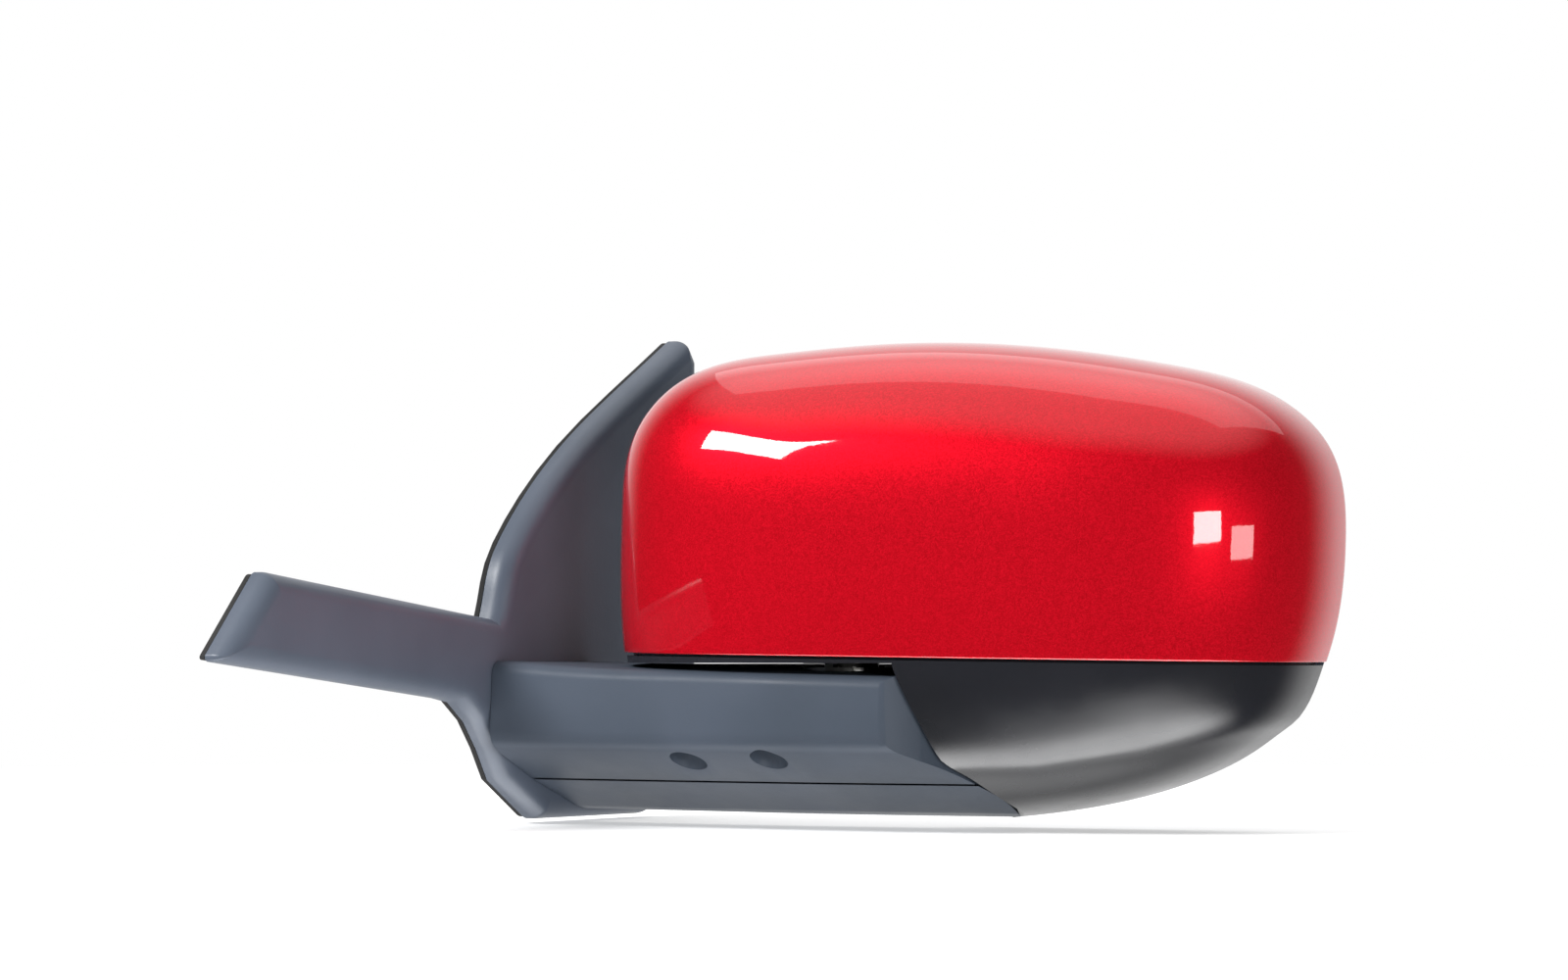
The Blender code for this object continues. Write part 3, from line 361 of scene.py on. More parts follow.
def finish_piece(obj, name, body, material, nodes, matrix=None):
    """Names and shades a made piece, and hands it to its body."""
    obj.name = name
    obj.data.name = name
    if matrix is not None:
        obj.data.transform(matrix)
    obj.data.shade_smooth()
    obj.data.set_sharp_from_angle(angle=math.radians(SHARP))
    obj.data.materials.clear()
    obj.data.materials.append(material)
    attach(obj, body)
    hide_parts(*nodes)


# ---------------------------------------------------------------- head form

def profile_turns(count, rear):
    """Turns from a depth near the rim to the nose, at equal steps along the head's section."""
    turns = np.radians(np.linspace(0, 90, 3000))
    wide = HALF_WIDTH * np.cos(turns) ** (2 / SIDE_POWER)
    deep = HEAD_DEPTH * np.sin(turns) ** (2 / DEPTH_POWER)
    start = int(np.searchsorted(deep, RIM_Y - rear))
    turns, wide, deep = turns[start:], wide[start:], deep[start:]
    run = np.concatenate([[0], np.cumsum(np.hypot(np.diff(wide), np.diff(deep)))])
    return np.degrees(np.interp(np.linspace(0, run[-1], count + 1)[:-1], run, turns))


def head_form(shrink, back, around=220, rings=84, rear_round=0.0):
    """The head's closed outer body, moved in by shrink. It runs straight to the rear, to y = back."""
    rim = np.array(closed_spline(RIM_POINTS, around))[::-1]
    middle = np.array(HEAD_MIDDLE, float)
    points, swell = [], []
    for turn in profile_turns(rings, min(back - rear_round, RIM_Y)):
        angle = math.radians(turn)
        scale = np.array([math.cos(angle) ** (2 / SIDE_POWER), math.cos(angle) ** (2 / HEIGHT_POWER)])
        y = RIM_Y - HEAD_DEPTH * math.sin(angle) ** (2 / DEPTH_POWER)
        for spot in rim:
            x, z = middle + (spot - middle) * scale
            rise = z - float(np.interp(x, *zip(*RIDGE_LINE)))
            points.append(Vector((x, y, z)))
            swell.append(RIDGE * math.exp(-((rise / (RIDGE_ABOVE if rise > 0 else RIDGE_BELOW)) ** 2)))
    points.append(Vector((middle[0], RIM_Y - HEAD_DEPTH, middle[1])))
    swell.append(0.0)
    faces = []
    for k in range(rings - 1):
        for i in range(around):
            j = (i + 1) % around
            faces.append((k * around + i, k * around + j, (k + 1) * around + j, (k + 1) * around + i))
    for i in range(around):
        faces.append(((rings - 1) * around + i, (rings - 1) * around + (i + 1) % around, len(points) - 1))
    normals = outward(points, faces)
    for k, normal in enumerate(normals):
        if k < around:
            normal = Vector((normal.x, 0, normal.z)).normalized()
        points[k] = points[k] + normal * (swell[k] - shrink)
    edge = [(points[k].x, points[k].z) for k in range(around)]
    if rear_round:
        tail = []
        for step in range(1, 9):
            angle = math.pi / 2 * step / 8
            line = inset(edge, rear_round * (1 - math.cos(angle)))
            tail.append([Vector((x, back - rear_round * (1 - math.sin(angle)), z)) for x, z in line])
    else:
        tail = [[Vector((x, max(back, RIM_Y + 1), z)) for x, z in edge]]
    base = 0
    for ring in tail:
        start = len(points)
        points += ring
        for i in range(around):
            j = (i + 1) % around
            faces.append((start + i, start + j, base + j, base + i))
        base = start
    faces.append(tuple(base + i for i in reversed(range(around))))
    return points, faces


def coarse_form(shrink, back):
    """The head's body with fewer faces, for hollows and ribs that are out of sight."""
    return head_form(shrink, back, 120, 40)


def outward(points, faces):
    """Each point's normal, from the faces round it."""
    p = np.array([tuple(q) for q in points])
    sums = np.zeros_like(p)
    for size in (3, 4):
        chosen = np.array([f for f in faces if len(f) == size], int)
        if len(chosen):
            a, b, c, d = (p[chosen[:, k]] for k in (0, 1, 2, -1))
            normal = np.cross(c - a, d - b) if size == 4 else np.cross(b - a, c - a)
            for k in range(size):
                np.add.at(sums, chosen[:, k], normal)
    sums /= np.linalg.norm(sums, axis=1)[:, None]
    return [Vector(s) for s in sums]


def split_level(x, gap):
    return SPLIT_Z - SPLIT_FALL * x + gap


def along_split(gap):
    return [(x, y, split_level(x, gap)) for x, y in PLAN]


def below_split(gap):
    """Everything under the cap's lower edge."""
    return loft([[(x, y, PLAN_BOTTOM) for x, y in PLAN], along_split(gap)])


def slope_slab(low, high):
    """A slab along the cap's lower edge, from low to high about it."""
    return loft([along_split(low), along_split(high)])


def between(front, back):
    """All of the head that lies between two depths."""
    return box((INBOARD, front, BELOW), (OUTBOARD, back, ABOVE))


def round_room(extra, top, side):
    """All that is inboard of the fold axis and a round room about it, up to a height."""
    rings = []
    for z in (BELOW, *[z for _, z in reversed(CONE)], top):
        radius = float(np.interp(-z, [-height for _, height in CONE], [r for r, _ in CONE])) + extra
        if z == BELOW:
            radius += ROOM_FLARE
        turns = [math.radians(-90 + 180 * k / 96) for k in range(97)]
        arc = [(radius * math.cos(t) + side, radius * math.sin(t), z) for t in turns]
        start = [(INBOARD, -ROOM_SIDE, z), (side, -ROOM_SIDE, z)]
        rings.append([*start, *arc, (side, ROOM_SIDE, z), (INBOARD, ROOM_SIDE, z)])
    return loft(rings)


def opening_outline(grow, count=200):
    line = closed_spline(GLASS_POINTS, count)[::-1]
    return inset(line, -grow) if grow else line


# ---------------------------------------------------------------- head pieces

def open_shell(shape, planes):
    """The part of a surface behind all the planes, as a bmesh with no slivers at its edge."""
    points, faces = shape
    bm = bmesh.new()
    verts = [bm.verts.new(p) for p in points]
    for face in faces:
        bm.faces.new([verts[i] for i in face])
    for place, normal in planes:
        geometry = bm.verts[:] + bm.edges[:] + bm.faces[:]
        done = bmesh.ops.bisect_plane(bm, geom=geometry, plane_co=place, plane_no=normal, clear_outer=True)
        on_cut = [v for v in done["geom_cut"] if isinstance(v, bmesh.types.BMVert)]
        target = {}
        for vert in on_cut:
            for edge in vert.link_edges:
                other = edge.other_vert(vert)
                if edge.calc_length() < SLIVER and other not in target and vert not in target:
                    if other not in on_cut or other not in target.values():
                        target[other] = vert
        bmesh.ops.weld_verts(bm, targetmap=target)
    bmesh.ops.recalc_face_normals(bm, faces=bm.faces[:])
    bm.normal_update()
    return bm


def lipped_shell(shape, planes, wall, lip):
    """A shell of even wall, its free edge rounded by a small lip."""
    bm = open_shell(shape, planes)
    bm.verts.ensure_lookup_table()
    centre = Vector((40, 0, 50))
    if sum((f.calc_center_median() - centre).dot(f.normal) for f in bm.faces) < 0:
        bmesh.ops.reverse_faces(bm, faces=bm.faces[:])
        bm.normal_update()
    outer = [v.co.copy() for v in bm.verts]
    normals = [v.normal.copy() for v in bm.verts]
    faces = [tuple(v.index for v in f.verts) for f in bm.faces]
    follow = {}
    for edge in bm.edges:
        if len(edge.link_faces) == 1:
            loop = edge.link_faces[0].loops
            for corner in loop:
                if corner.edge == edge:
                    follow[corner.vert.index] = corner.link_loop_next.vert.index
    bm.free()
    start = next(iter(follow))
    edge_line = [start]
    while follow[edge_line[-1]] != start:
        edge_line.append(follow[edge_line[-1]])
    count, total = len(edge_line), len(outer)
    points = outer + [p - n * wall for p, n in zip(outer, normals)]
    solid = list(faces) + [tuple(total + i for i in reversed(face)) for face in faces]
    away = []
    for k, i in enumerate(edge_line):
        along = (outer[edge_line[(k + 1) % count]] - outer[edge_line[k - 1]]).normalized()
        away.append(along.cross(normals[i]).normalized())
    rings = [edge_line]
    marks = [(lip, a) for a in (22.5, 45, 67.5, 90)] + [(wall - lip, a) for a in (90, 112.5, 135, 157.5)]
    for depth, turn in marks:
        angle = math.radians(turn)
        ring = []
        for k, i in enumerate(edge_line):
            ring.append(len(points))
            lift = -depth + lip * math.cos(angle)
            points.append(outer[i] + normals[i] * lift + away[k] * (lip * math.sin(angle)))
        rings.append(ring)
    rings.append([total + i for i in edge_line])
    for low, high in zip(rings, rings[1:]):
        for k in range(count):
            j = (k + 1) % count
            solid.append((low[j], low[k], high[k], high[j]))
    return points, solid


def tongue(target, near, limits):
    """A rib inside the head's wall that closes the view through a seam, joined to a piece."""
    rib = mesh_object("rib", coarse_form(near, BEHIND_HEAD))
    keep(rib, *limits)
    cut(rib, coarse_form(near + RIB, HOLLOW_BACK), round_room(CONE_GAP, FLOOR_Z, 0))
    join(target, rib)


def make_cap(material):
    split_normal = Vector((-SPLIT_FALL, 0, -1)).normalized()
    bottom = (Vector((0, 0, split_level(0, GAP + LIP))), split_normal)
    rear = (Vector((0, CAP_BACK - LIP, 0)), Vector((0, 1, 0)))
    surface = head_form(0, BEHIND_HEAD, 300, 110)
    cap = mesh_object("cap_shell", lipped_shell(surface, [bottom, rear], CAP_WALL, LIP))
    finish_piece(cap, "cap_shell", "head", material, ["cap"], HEAD)


def make_lower_cover(material):
    cover = mesh_object("lower_shell", head_form(SEAM, BEHIND_HEAD))
    keep(cover, below_split(-SEAM + GAP), between(AHEAD, CAP_BACK))
    hollow = mesh_object("hollow", coarse_form(SEAM + WALL, HOLLOW_BACK))
    cut(hollow, round_room(CONE_GAP + 1.7, FLOOR_Z + 1.7, 1.7))
    cut(cover, hollow)
    tongue(cover, SEAM + WALL - RIB_OVERLAP, [slope_slab(-5, 3), between(AHEAD, CAP_BACK)])
    cut(cover, round_room(CONE_GAP, FLOOR_Z, 0), rod(HOLE_R, 0, 40))
    finish_piece(cover, "lower_shell", "head", material, ["lower_cover"], HEAD)


def make_bezel(material):
    front = CAP_BACK + SEAM
    bezel = mesh_object("rear_housing", head_form(SEAM, RIM_Y, 220, 60, REAR_ROUND))
    keep(bezel, between(front, BEHIND_HEAD))
    hollow = mesh_object("hollow", coarse_form(SEAM + WALL, BEHIND_HEAD))
    keep(hollow, between(0, RIM_Y - BEZEL_BACK))
    funnel = opening_outline(OPENING_GAP + WALL)
    cut(hollow, round_room(CONE_GAP + 2, FLOOR_Z + 2, 2), slab(funnel, -20, 80))
    cut(bezel, hollow)
    tongue(bezel, SEAM + WALL - RIB_OVERLAP, [between(CAP_BACK - 4, front + 1)])
    cut(bezel, round_room(CONE_GAP, FLOOR_Z, 0))
    join(bezel, slab(funnel, FUNNEL_FRONT, RIM_Y - 1))
    mouth = [(RIM_Y + depth, more) for depth, more in MOUTH_ROUND]
    mouth = [(FUNNEL_FRONT - 40, 0), *mouth, (80, mouth[-1][1])]
    cut(bezel, loft([across_y(opening_outline(OPENING_GAP + more), y) for y, more in mouth]))
    for (x, z), (low, high) in zip(LUG_PLACES, LUG_ENDS):
        join(bezel, box((x - LUG_HALF, LUG_BACK - LUG_THICK, low), (x + LUG_HALF, LUG_BACK, high)))
        cut(bezel, moved(rod(SCREW_R + GAP, -5, 30), (x, 0, z), (0, 1, 0)))
    finish_piece(bezel, "rear_housing", "head", material, ["bezel"], HEAD)


def make_glass(material):
    """Slightly domed glass with a ground edge."""
    line = opening_outline(0, 240)
    middle = np.mean(np.array(line), axis=0)
    low = GLASS_FACE - GLASS_THICK
    rings = [across_y(inset(line, CARRIER_LIP + 0.5), low), across_y(inset(line, CARRIER_LIP), low + 0.4)]
    face = [(inset(line, CARRIER_LIP + move), drop) for move, drop in GLASS_EDGE]
    edge = np.array(face[-1][0])
    for share in np.linspace(0.96, 0.04, 24):
        face.append(([tuple(p) for p in middle + (edge - middle) * share], 0))
    for outline, drop in face:
        ring = []
        for x, z in reversed(outline):
            dome = ((x - middle[0]) ** 2 + (z - middle[1]) ** 2) / (2 * GLASS_DOME)
            ring.append((x, GLASS_FACE - drop - dome, z))
        rings.append(ring)
    glass = mesh_object("glass_plate", loft(rings))
    finish_piece(glass, "glass_plate", "glass", material, ["mirror_glass"], HEAD)


# ---------------------------------------------------------------- base pieces

def sail_outline(distance=0.0):
    marks = np.linspace(3, 0, 49)
    edge = [tuple(eased([0, 1, 2, 3], [p[k] for p in SAIL_CURVE], m) for k in (0, 1)) for m in marks]
    corners = [(*edge[0], 3.5), *[(*p, 0) for p in edge[1:]], (*TAB_TOP, 3), (*TAB_TOE, 1.5)]
    corners += [(*p, 0) for p in SCOOP]
    corners += [(*SAIL_TOE, 0), (*SAIL_BOTTOM_FRONT, 6), (*SAIL_BOTTOM_REAR, 12)]
    corners += [(*SAIL_REAR_FOOT, 12), (*SAIL_TIP, 4)]
    return rounded(corners, 8, distance)


def make_sail(material):
    rings = [across_x(sail_outline(0.5), SAIL_BACK), across_x(sail_outline(), SAIL_BACK + 0.5),
             across_x(sail_outline(), SAIL_BACK + SAIL_EDGE_FLAT)]
    rise = SAIL_FACE - SAIL_BACK - SAIL_EDGE_FLAT
    for step in range(1, 11):
        angle = math.pi / 2 * step / 10
        line = sail_outline(SAIL_ROUND * (1 - math.cos(angle)))
        rings.append(across_x(line, SAIL_BACK + SAIL_EDGE_FLAT + rise * math.sin(angle)))
    sail = mesh_object("sail", loft(rings))
    pocket = [(-5, WALL), (SAIL_BACK + SAIL_EDGE_FLAT, WALL), (SAIL_FACE - WALL, WALL + 0.45 * SAIL_ROUND)]
    cut(sail, loft([across_x(sail_outline(move), x) for x, move in pocket]))
    cut(sail, box((0, BEAM_FRONT - 1, BEAM_BOTTOM - 1), (40, BEAM_REAR + 1, BEAM_TOP + 1)))
    finish_piece(sail, "sail", "base", material, ["sail_panel"])


def arm_section(x, wall):
    front = eased(ARM_STATIONS, ARM_FRONT, x)
    top = eased(ARM_STATIONS, ARM_TOP, x)
    rear = eased(ARM_STATIONS, ARM_REAR, x)
    crown = eased(ARM_STATIONS, ARM_CROWN, x)
    skirt = (front + ARM_SKIRT[0], ARM_SKIRT[1])
    bottom = (front + ARM_BOTTOM[0], ARM_BOTTOM[1])
    corners = [(rear, crown, 4), (front + ARM_LEAN, top, 4.5), (front, ARM_CREASE, 7)]
    corners += [(*skirt, 12), (*bottom, 12), (rear, ARM_REAR_FOOT, 5)]
    return rounded(corners, 10, wall)


def arm_body(wall, start):
    stations = [start, *np.linspace(20, 205, 48)]
    return loft([across_x(arm_section(max(x, ARM_STATIONS[0]), wall), x) for x in stations])


def make_arm(material):
    big = 400
    place = (AXIS_X, 0, 0)
    sides = {"arm_shell": box((-big, -big, ARM_SPLIT + GAP), (big, big, big)),
             "arm_under_shell": box((-big, -big, -big), (big, big, ARM_SPLIT - GAP))}
    for (name, side), node in zip(sides.items(), ("arm_cover", "arm_under_cover")):
        shell = mesh_object(name, arm_body(0, ARM_STATIONS[0]))
        keep(shell, moved(round_room(0, 60, 0), place))
        hollow = mesh_object("hollow", arm_body(WALL, ARM_STATIONS[0] - 9))
        keep(hollow, moved(round_room(-WALL, 60, 0), place))
        for x, y in WELL_PLACES:
            cut(hollow, moved(rod(WELL_R + WELL_WALL, -60, WELL_FLOOR + 2), (x, y, 0)))
        cut(shell, hollow)
        keep(shell, side)
        if node == "arm_cover":
            cut(shell, moved(rod(HOLE_R, 0, 40), place))
            for x, y in WELL_PLACES:
                cut(shell, moved(rod(WELL_R, -60, WELL_FLOOR), (x, y, 0)))
                cut(shell, moved(rod(SCREW_R + GAP, -10, 10), (x, y, 0)))
        finish_piece(shell, name, "base", material, [node])


# ---------------------------------------------------------------- materials

class Paint:
    """Short names for building a node material round one Principled shader."""

    def __init__(self, name):
        self.material = bpy.data.materials.new(name)
        self.material.use_nodes = True
        self.tree = self.material.node_tree
        self.shader = self.tree.nodes["Principled BSDF"]
        self.place = self.node("ShaderNodeTexCoord").outputs["Object"]

    def node(self, kind, **settings):
        made = self.tree.nodes.new(kind)
        for key, value in settings.items():
            setattr(made, key, value)
        return made

    def link(self, source, target):
        self.tree.links.new(source, target)

    def noise(self, scale, detail=2.0, roughness=0.5):
        made = self.node("ShaderNodeTexNoise")
        made.inputs["Scale"].default_value = scale
        made.inputs["Detail"].default_value = detail
        made.inputs["Roughness"].default_value = roughness
        self.link(self.place, made.inputs["Vector"])
        return made.outputs["Fac"]

    def cells(self, scale):
        made = self.node("ShaderNodeTexVoronoi")
        made.inputs["Scale"].default_value = scale
        self.link(self.place, made.inputs["Vector"])
        return made.outputs["Color"]

    def ranged(self, source, low, high, start=0.0, end=1.0):
        made = self.node("ShaderNodeMapRange")
        for key, value in (("From Min", start), ("From Max", end), ("To Min", low), ("To Max", high)):
            made.inputs[key].default_value = value
        self.link(source, made.inputs["Value"])
        return made.outputs["Result"]

    def blend(self, factor, first, second):
        made = self.node("ShaderNodeMix", data_type="RGBA")
        self.link(factor, made.inputs["Factor"])
        for socket, value in ((made.inputs["A"], first), (made.inputs["B"], second)):
            if isinstance(value, tuple):
                socket.default_value = (*value, 1)
            else:
                self.link(value, socket)
        return made.outputs["Result"]

    def bump(self, height, distance, strength=1.0, under=None):
        made = self.node("ShaderNodeBump")
        made.inputs["Distance"].default_value = distance
        made.inputs["Strength"].default_value = strength
        self.link(height, made.inputs["Height"])
        if under is not None:
            self.link(under, made.inputs["Normal"])
        return made.outputs["Normal"]

    def set(self, **values):
        names = {"base": "Base Color", "rough": "Roughness", "metal": "Metallic", "coat": "Coat Weight",
                 "coat_rough": "Coat Roughness", "coat_ior": "Coat IOR", "ior": "IOR", "normal": "Normal",
                 "coat_normal": "Coat Normal", "specular": "Specular IOR Level"}
        for key, value in values.items():
            socket = self.shader.inputs[names[key]]
            if isinstance(value, tuple):
                socket.default_value = (*value, 1)
            elif isinstance(value, (int, float)):
                socket.default_value = value
            else:
                self.link(value, socket)
        return self.material


def red_paint():
    """Metallic red: fine flake under a clear coat with a little orange peel."""
    paint = Paint("metallic_red")
    flake = paint.cells(2600)
    shade = paint.ranged(flake, 0.0, 1.0)
    tint = paint.blend(shade, (0.46, 0.0025, 0.0085), (0.74, 0.0055, 0.020))
    cloud = paint.ranged(paint.noise(9, 2), 0.0, 0.22, 0.3, 0.7)
    tint = paint.blend(cloud, tint, (0.52, 0.003, 0.010))
    peel = paint.bump(paint.noise(420, 1), 0.00002, 0.35)
    sparkle = paint.bump(flake, 0.00002, 0.5)
    return paint.set(base=tint, metal=0.4, rough=paint.ranged(flake, 0.30, 0.46), normal=sparkle, coat=1.0,
                     coat_rough=0.035, coat_ior=1.5, coat_normal=peel, specular=0.0)


def moulded(name, dark, light, rough, grain=0.00006, scale=1500, gloss=0.5):
    """Moulded plastic: fine spark-eroded grain, slow colour drift and worn, shinier patches."""
    paint = Paint(name)
    drift = paint.ranged(paint.noise(14, 3), 0.0, 1.0, 0.35, 0.65)
    tint = paint.blend(drift, dark, light)
    fine = paint.noise(scale, 3, 0.6)
    coarse = paint.noise(scale / 4, 2, 0.5)
    normal = paint.bump(fine, grain, 0.5, paint.bump(coarse, grain * 1.2, 0.35))
    wear = paint.ranged(paint.noise(30, 4, 0.6), rough - 0.06, rough + 0.06, 0.3, 0.7)
    return paint.set(base=tint, rough=wear, normal=normal, specular=gloss)


def metal(name, dark, light, rough, scale=900):
    """Metal with tone and roughness that vary over a fine grain."""
    paint = Paint(name)
    tint = paint.blend(paint.ranged(paint.noise(60, 4), 0, 1, 0.35, 0.65), dark, light)
    grain = paint.noise(scale, 4, 0.6)
    normal = paint.bump(grain, 0.00005, 0.4)
    wear = paint.ranged(grain, rough - 0.08, rough + 0.1, 0.3, 0.7)
    return paint.set(base=tint, metal=1.0, rough=wear, normal=normal)


def mirror_glass():
    """Silvered glass: a bright mirror under a clear, faintly wavy face."""
    paint = Paint("silvered_glass")
    dust = paint.ranged(paint.noise(160, 5, 0.7), 0.012, 0.05, 0.45, 0.75)
    wave = paint.bump(paint.noise(18, 1), 0.00001, 0.15)
    return paint.set(base=(0.88, 0.91, 0.93), metal=1.0, rough=dust, normal=wave, coat=0.6, coat_rough=0.01)


def dress_frame():
    """The frame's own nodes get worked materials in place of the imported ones."""
    zinc = metal("zinc_plate", (0.42, 0.43, 0.42), (0.66, 0.66, 0.62), 0.34)
    cast = metal("cast_alloy", (0.22, 0.225, 0.23), (0.36, 0.365, 0.37), 0.52, 500)
    nylon = moulded("glass_nylon", (0.014, 0.014, 0.016), (0.026, 0.026, 0.028), 0.55, 0.00008, 900)
    acetal = moulded("grey_acetal", (0.26, 0.26, 0.25), (0.36, 0.36, 0.34), 0.42)
    brass = metal("turned_brass", (0.52, 0.34, 0.12), (0.74, 0.54, 0.24), 0.28)
    rubber = moulded("moulded_rubber", (0.010, 0.010, 0.011), (0.022, 0.022, 0.022), 0.8, 0.0001, 700)
    foam = moulded("foam_strip", (0.012, 0.012, 0.012), (0.03, 0.03, 0.03), 0.92, 0.0003, 1300)
    film = moulded("heater_film", (0.03, 0.03, 0.03), (0.06, 0.055, 0.05), 0.5)
    looks = [
        (zinc, ["door_stud_1", "door_stud_2", "door_stud_3", "arm_screw_1", "arm_screw_2", "bezel_screw_1",
                "bezel_screw_2", "actuator_screw_1", "actuator_screw_2", "actuator_screw_3", "fold_post",
                "detent_ring_lower", "detent_ring_upper", "fold_spring", "spring_retainer", "pan_motor",
                "tilt_motor"]),
        (cast, ["base_bracket"]),
        (nylon, ["head_frame", "actuator_case", "glass_carrier"]),
        (acetal, ["actuator_cover", "gimbal_ring", "pivot_bush", "pan_plunger", "tilt_plunger",
                  "pan_wheel", "tilt_wheel"]),
        (brass, ["pan_worm", "tilt_worm"]),
        (rubber, ["harness_grommet"]),
        (foam, ["door_gasket"]),
        (film, ["heater_pad"]),
    ]
    for material, nodes in looks:
        for node in nodes:
            for slot in frame["nodes"][node].material_slots:
                slot.material = material


# ---------------------------------------------------------------- studio

FLOOR_DROP = 0.0015
PAPER_RADIUS = (0.35, 0.9)
LAMPS = {       # turn, rise, distance, width, height, power
    "key_panel": (-31, 34, 1.6, 0.74, 0.32, 26),
    "side_window": (57, 3, 1.6, 0.44, 0.22, 6),
    "side_window_dim": (80, -1, 1.6, 0.46, 0.16, 2),
    "top_panel": (190, 62, 1.3, 1.6, 1.1, 4.5),
}
# Where each part of the surroundings fades, as cosines: from its front, or from straight up or down.
BEHIND = (-0.97, -0.40)
OVERHEAD = (0.62, 0.92)
UNDERFOOT = (0.68, 0.93)
UNDER_FRONT = (-0.35, 0.05)
OVERHEAD_LEVEL = 1.0
UNDERFOOT_LEVEL = 9.0
UNDER_BACK_LEVEL = 1.8
FRONT_LEVEL = 0.03
FRONT_TURN = 26.0
CAMERA_TURN = 32.0
CAMERA_RISE = -2.0
CAMERA_AWAY = 1.5
CAMERA_LENS = 105.47
CAMERA_AIM = (0.1138, -0.0192, 0.0756)


def view_direction(turn, rise):
    turn, rise = math.radians(turn), math.radians(rise)
    return Vector((math.sin(turn) * math.cos(rise), -math.cos(turn) * math.cos(rise), math.sin(rise)))


def aimed(name, data, turn, rise, away):
    """A camera or lamp at a turn and rise, facing the object."""
    holder = bpy.data.objects.new(name, data)
    back = view_direction(turn, rise)
    holder.location = Vector(CAMERA_AIM) + back * away
    holder.rotation_euler = back.to_track_quat("Z", "Y").to_euler()
    bpy.context.scene.collection.objects.link(holder)
    return holder


def make_camera():
    lens = bpy.data.cameras.new("camera")
    lens.lens = CAMERA_LENS
    lens.sensor_width = 36
    lens.clip_start = 0.01
    bpy.context.scene.camera = aimed("camera", lens, CAMERA_TURN, CAMERA_RISE, CAMERA_AWAY)


def make_floor():
    """White paper that glows softly near the mirror and fades into the white surroundings."""
    bm = bmesh.new()
    bmesh.ops.create_grid(bm, x_segments=40, y_segments=40, size=20)
    mesh = bpy.data.meshes.new("floor")
    bm.to_mesh(mesh)
    bm.free()
    floor = bpy.data.objects.new("floor", mesh)
    floor.location = (CAMERA_AIM[0], CAMERA_AIM[1], CAD_BOX[0][2] - FLOOR_DROP)
    floor.visible_glossy = False
    bpy.context.scene.collection.objects.link(floor)
    paint = Paint("paper_floor")
    reach = paint.node("ShaderNodeVectorMath", operation="LENGTH")
    paint.link(paint.place, reach.inputs[0])
    away = paint.ranged(reach.outputs["Value"], 0.0, 1.0, *PAPER_RADIUS)
    fibre = paint.blend(paint.noise(300, 3), (0.84, 0.84, 0.84), (0.90, 0.90, 0.90))
    paint.set(base=paint.blend(away, fibre, (0.0, 0.0, 0.0)), rough=1.0, specular=0.0)
    paint.shader.inputs["Emission Color"].default_value = (1, 1, 1, 1)
    paint.link(paint.ranged(away, 0.45, 1.0), paint.shader.inputs["Emission Strength"])
    mesh.materials.append(paint.material)


def area_light(name, turn, rise, away, width, height, power):
    """A soft white panel."""
    lamp = bpy.data.lights.new(name, "AREA")
    lamp.shape = "RECTANGLE"
    lamp.size, lamp.size_y = width, height
    lamp.energy = power
    aimed(name, lamp, turn, rise, away)


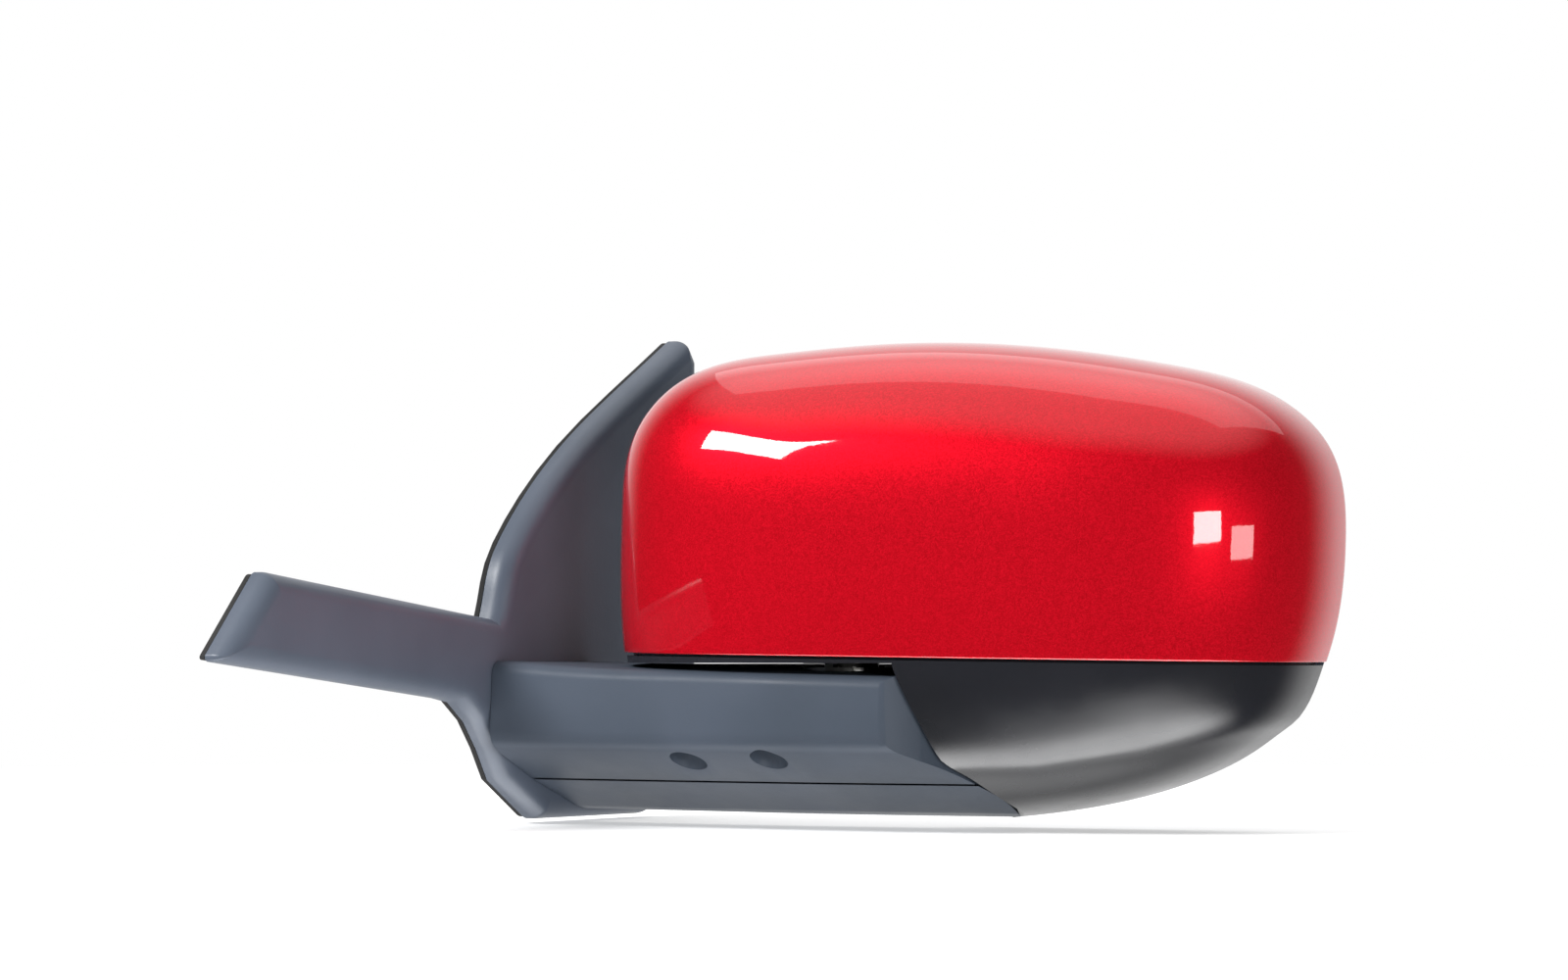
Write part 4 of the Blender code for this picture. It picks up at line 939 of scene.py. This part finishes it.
def make_world():
    """White surroundings behind and overhead, bright paper underfoot and a dim room in front."""
    world = bpy.data.worlds.new("studio")
    world.use_nodes = True
    tree = world.node_tree
    place = tree.nodes.new("ShaderNodeTexCoord").outputs["Generated"]

    def level(direction, start, end, low, high):
        along = tree.nodes.new("ShaderNodeVectorMath")
        along.operation = "DOT_PRODUCT"
        along.inputs[1].default_value = direction
        tree.links.new(place, along.inputs[0])
        made = tree.nodes.new("ShaderNodeMapRange")
        made.interpolation_type = "SMOOTHSTEP"
        for key, value in (("From Min", start), ("From Max", end), ("To Min", low), ("To Max", high)):
            made.inputs[key].default_value = value
        tree.links.new(along.outputs["Value"], made.inputs["Value"])
        return made.outputs["Result"]

    def combine(operation, first, second):
        made = tree.nodes.new("ShaderNodeMath")
        made.operation = operation
        tree.links.new(first, made.inputs[0])
        tree.links.new(second, made.inputs[1])
        return made.outputs[0]

    front = view_direction(FRONT_TURN, 0)
    behind = level(front, *BEHIND, 1.0, FRONT_LEVEL)
    overhead = level((0, 0, 1), *OVERHEAD, 0.0, OVERHEAD_LEVEL)
    paper = level(front, *UNDER_FRONT, UNDER_BACK_LEVEL, UNDERFOOT_LEVEL)
    underfoot = combine("MULTIPLY", level((0, 0, -1), *UNDERFOOT, 0.0, 1.0), paper)
    total = combine("MAXIMUM", combine("MAXIMUM", behind, overhead), underfoot)
    seen = tree.nodes.new("ShaderNodeLightPath")
    choice = tree.nodes.new("ShaderNodeMix")
    choice.inputs["B"].default_value = 1.0
    tree.links.new(seen.outputs["Is Camera Ray"], choice.inputs["Factor"])
    tree.links.new(total, choice.inputs["A"])
    back = tree.nodes["Background"]
    back.inputs["Color"].default_value = (1, 1, 1, 1)
    tree.links.new(choice.outputs["Result"], back.inputs["Strength"])
    bpy.context.scene.world = world
    bpy.context.scene.view_settings.view_transform = "Standard"


def build():
    make_camera()
    make_world()
    make_floor()
    for name, numbers in LAMPS.items():
        area_light(name, *numbers)
    plastic = moulded("grained_black", (0.054, 0.068, 0.090), (0.068, 0.084, 0.112), 0.42, gloss=0.15)
    # The sail and tab get a copy of the grained black plastic painted about 1.4 times lighter: painted
    # light that lifts the shade they stand in beside the head.
    sail_plastic_painted_lighter = moulded("grained_black_painted_lighter", (0.074, 0.092, 0.124), (0.096, 0.116, 0.154), 0.40, gloss=0.4)
    lower = moulded("satin_black", (0.012, 0.013, 0.016), (0.016, 0.017, 0.022), 0.24, 0.00002)
    make_cap(red_paint())
    make_lower_cover(lower)
    make_bezel(plastic)
    make_glass(mirror_glass())
    make_sail(sail_plastic_painted_lighter)
    make_arm(plastic)
    dress_frame()


build()
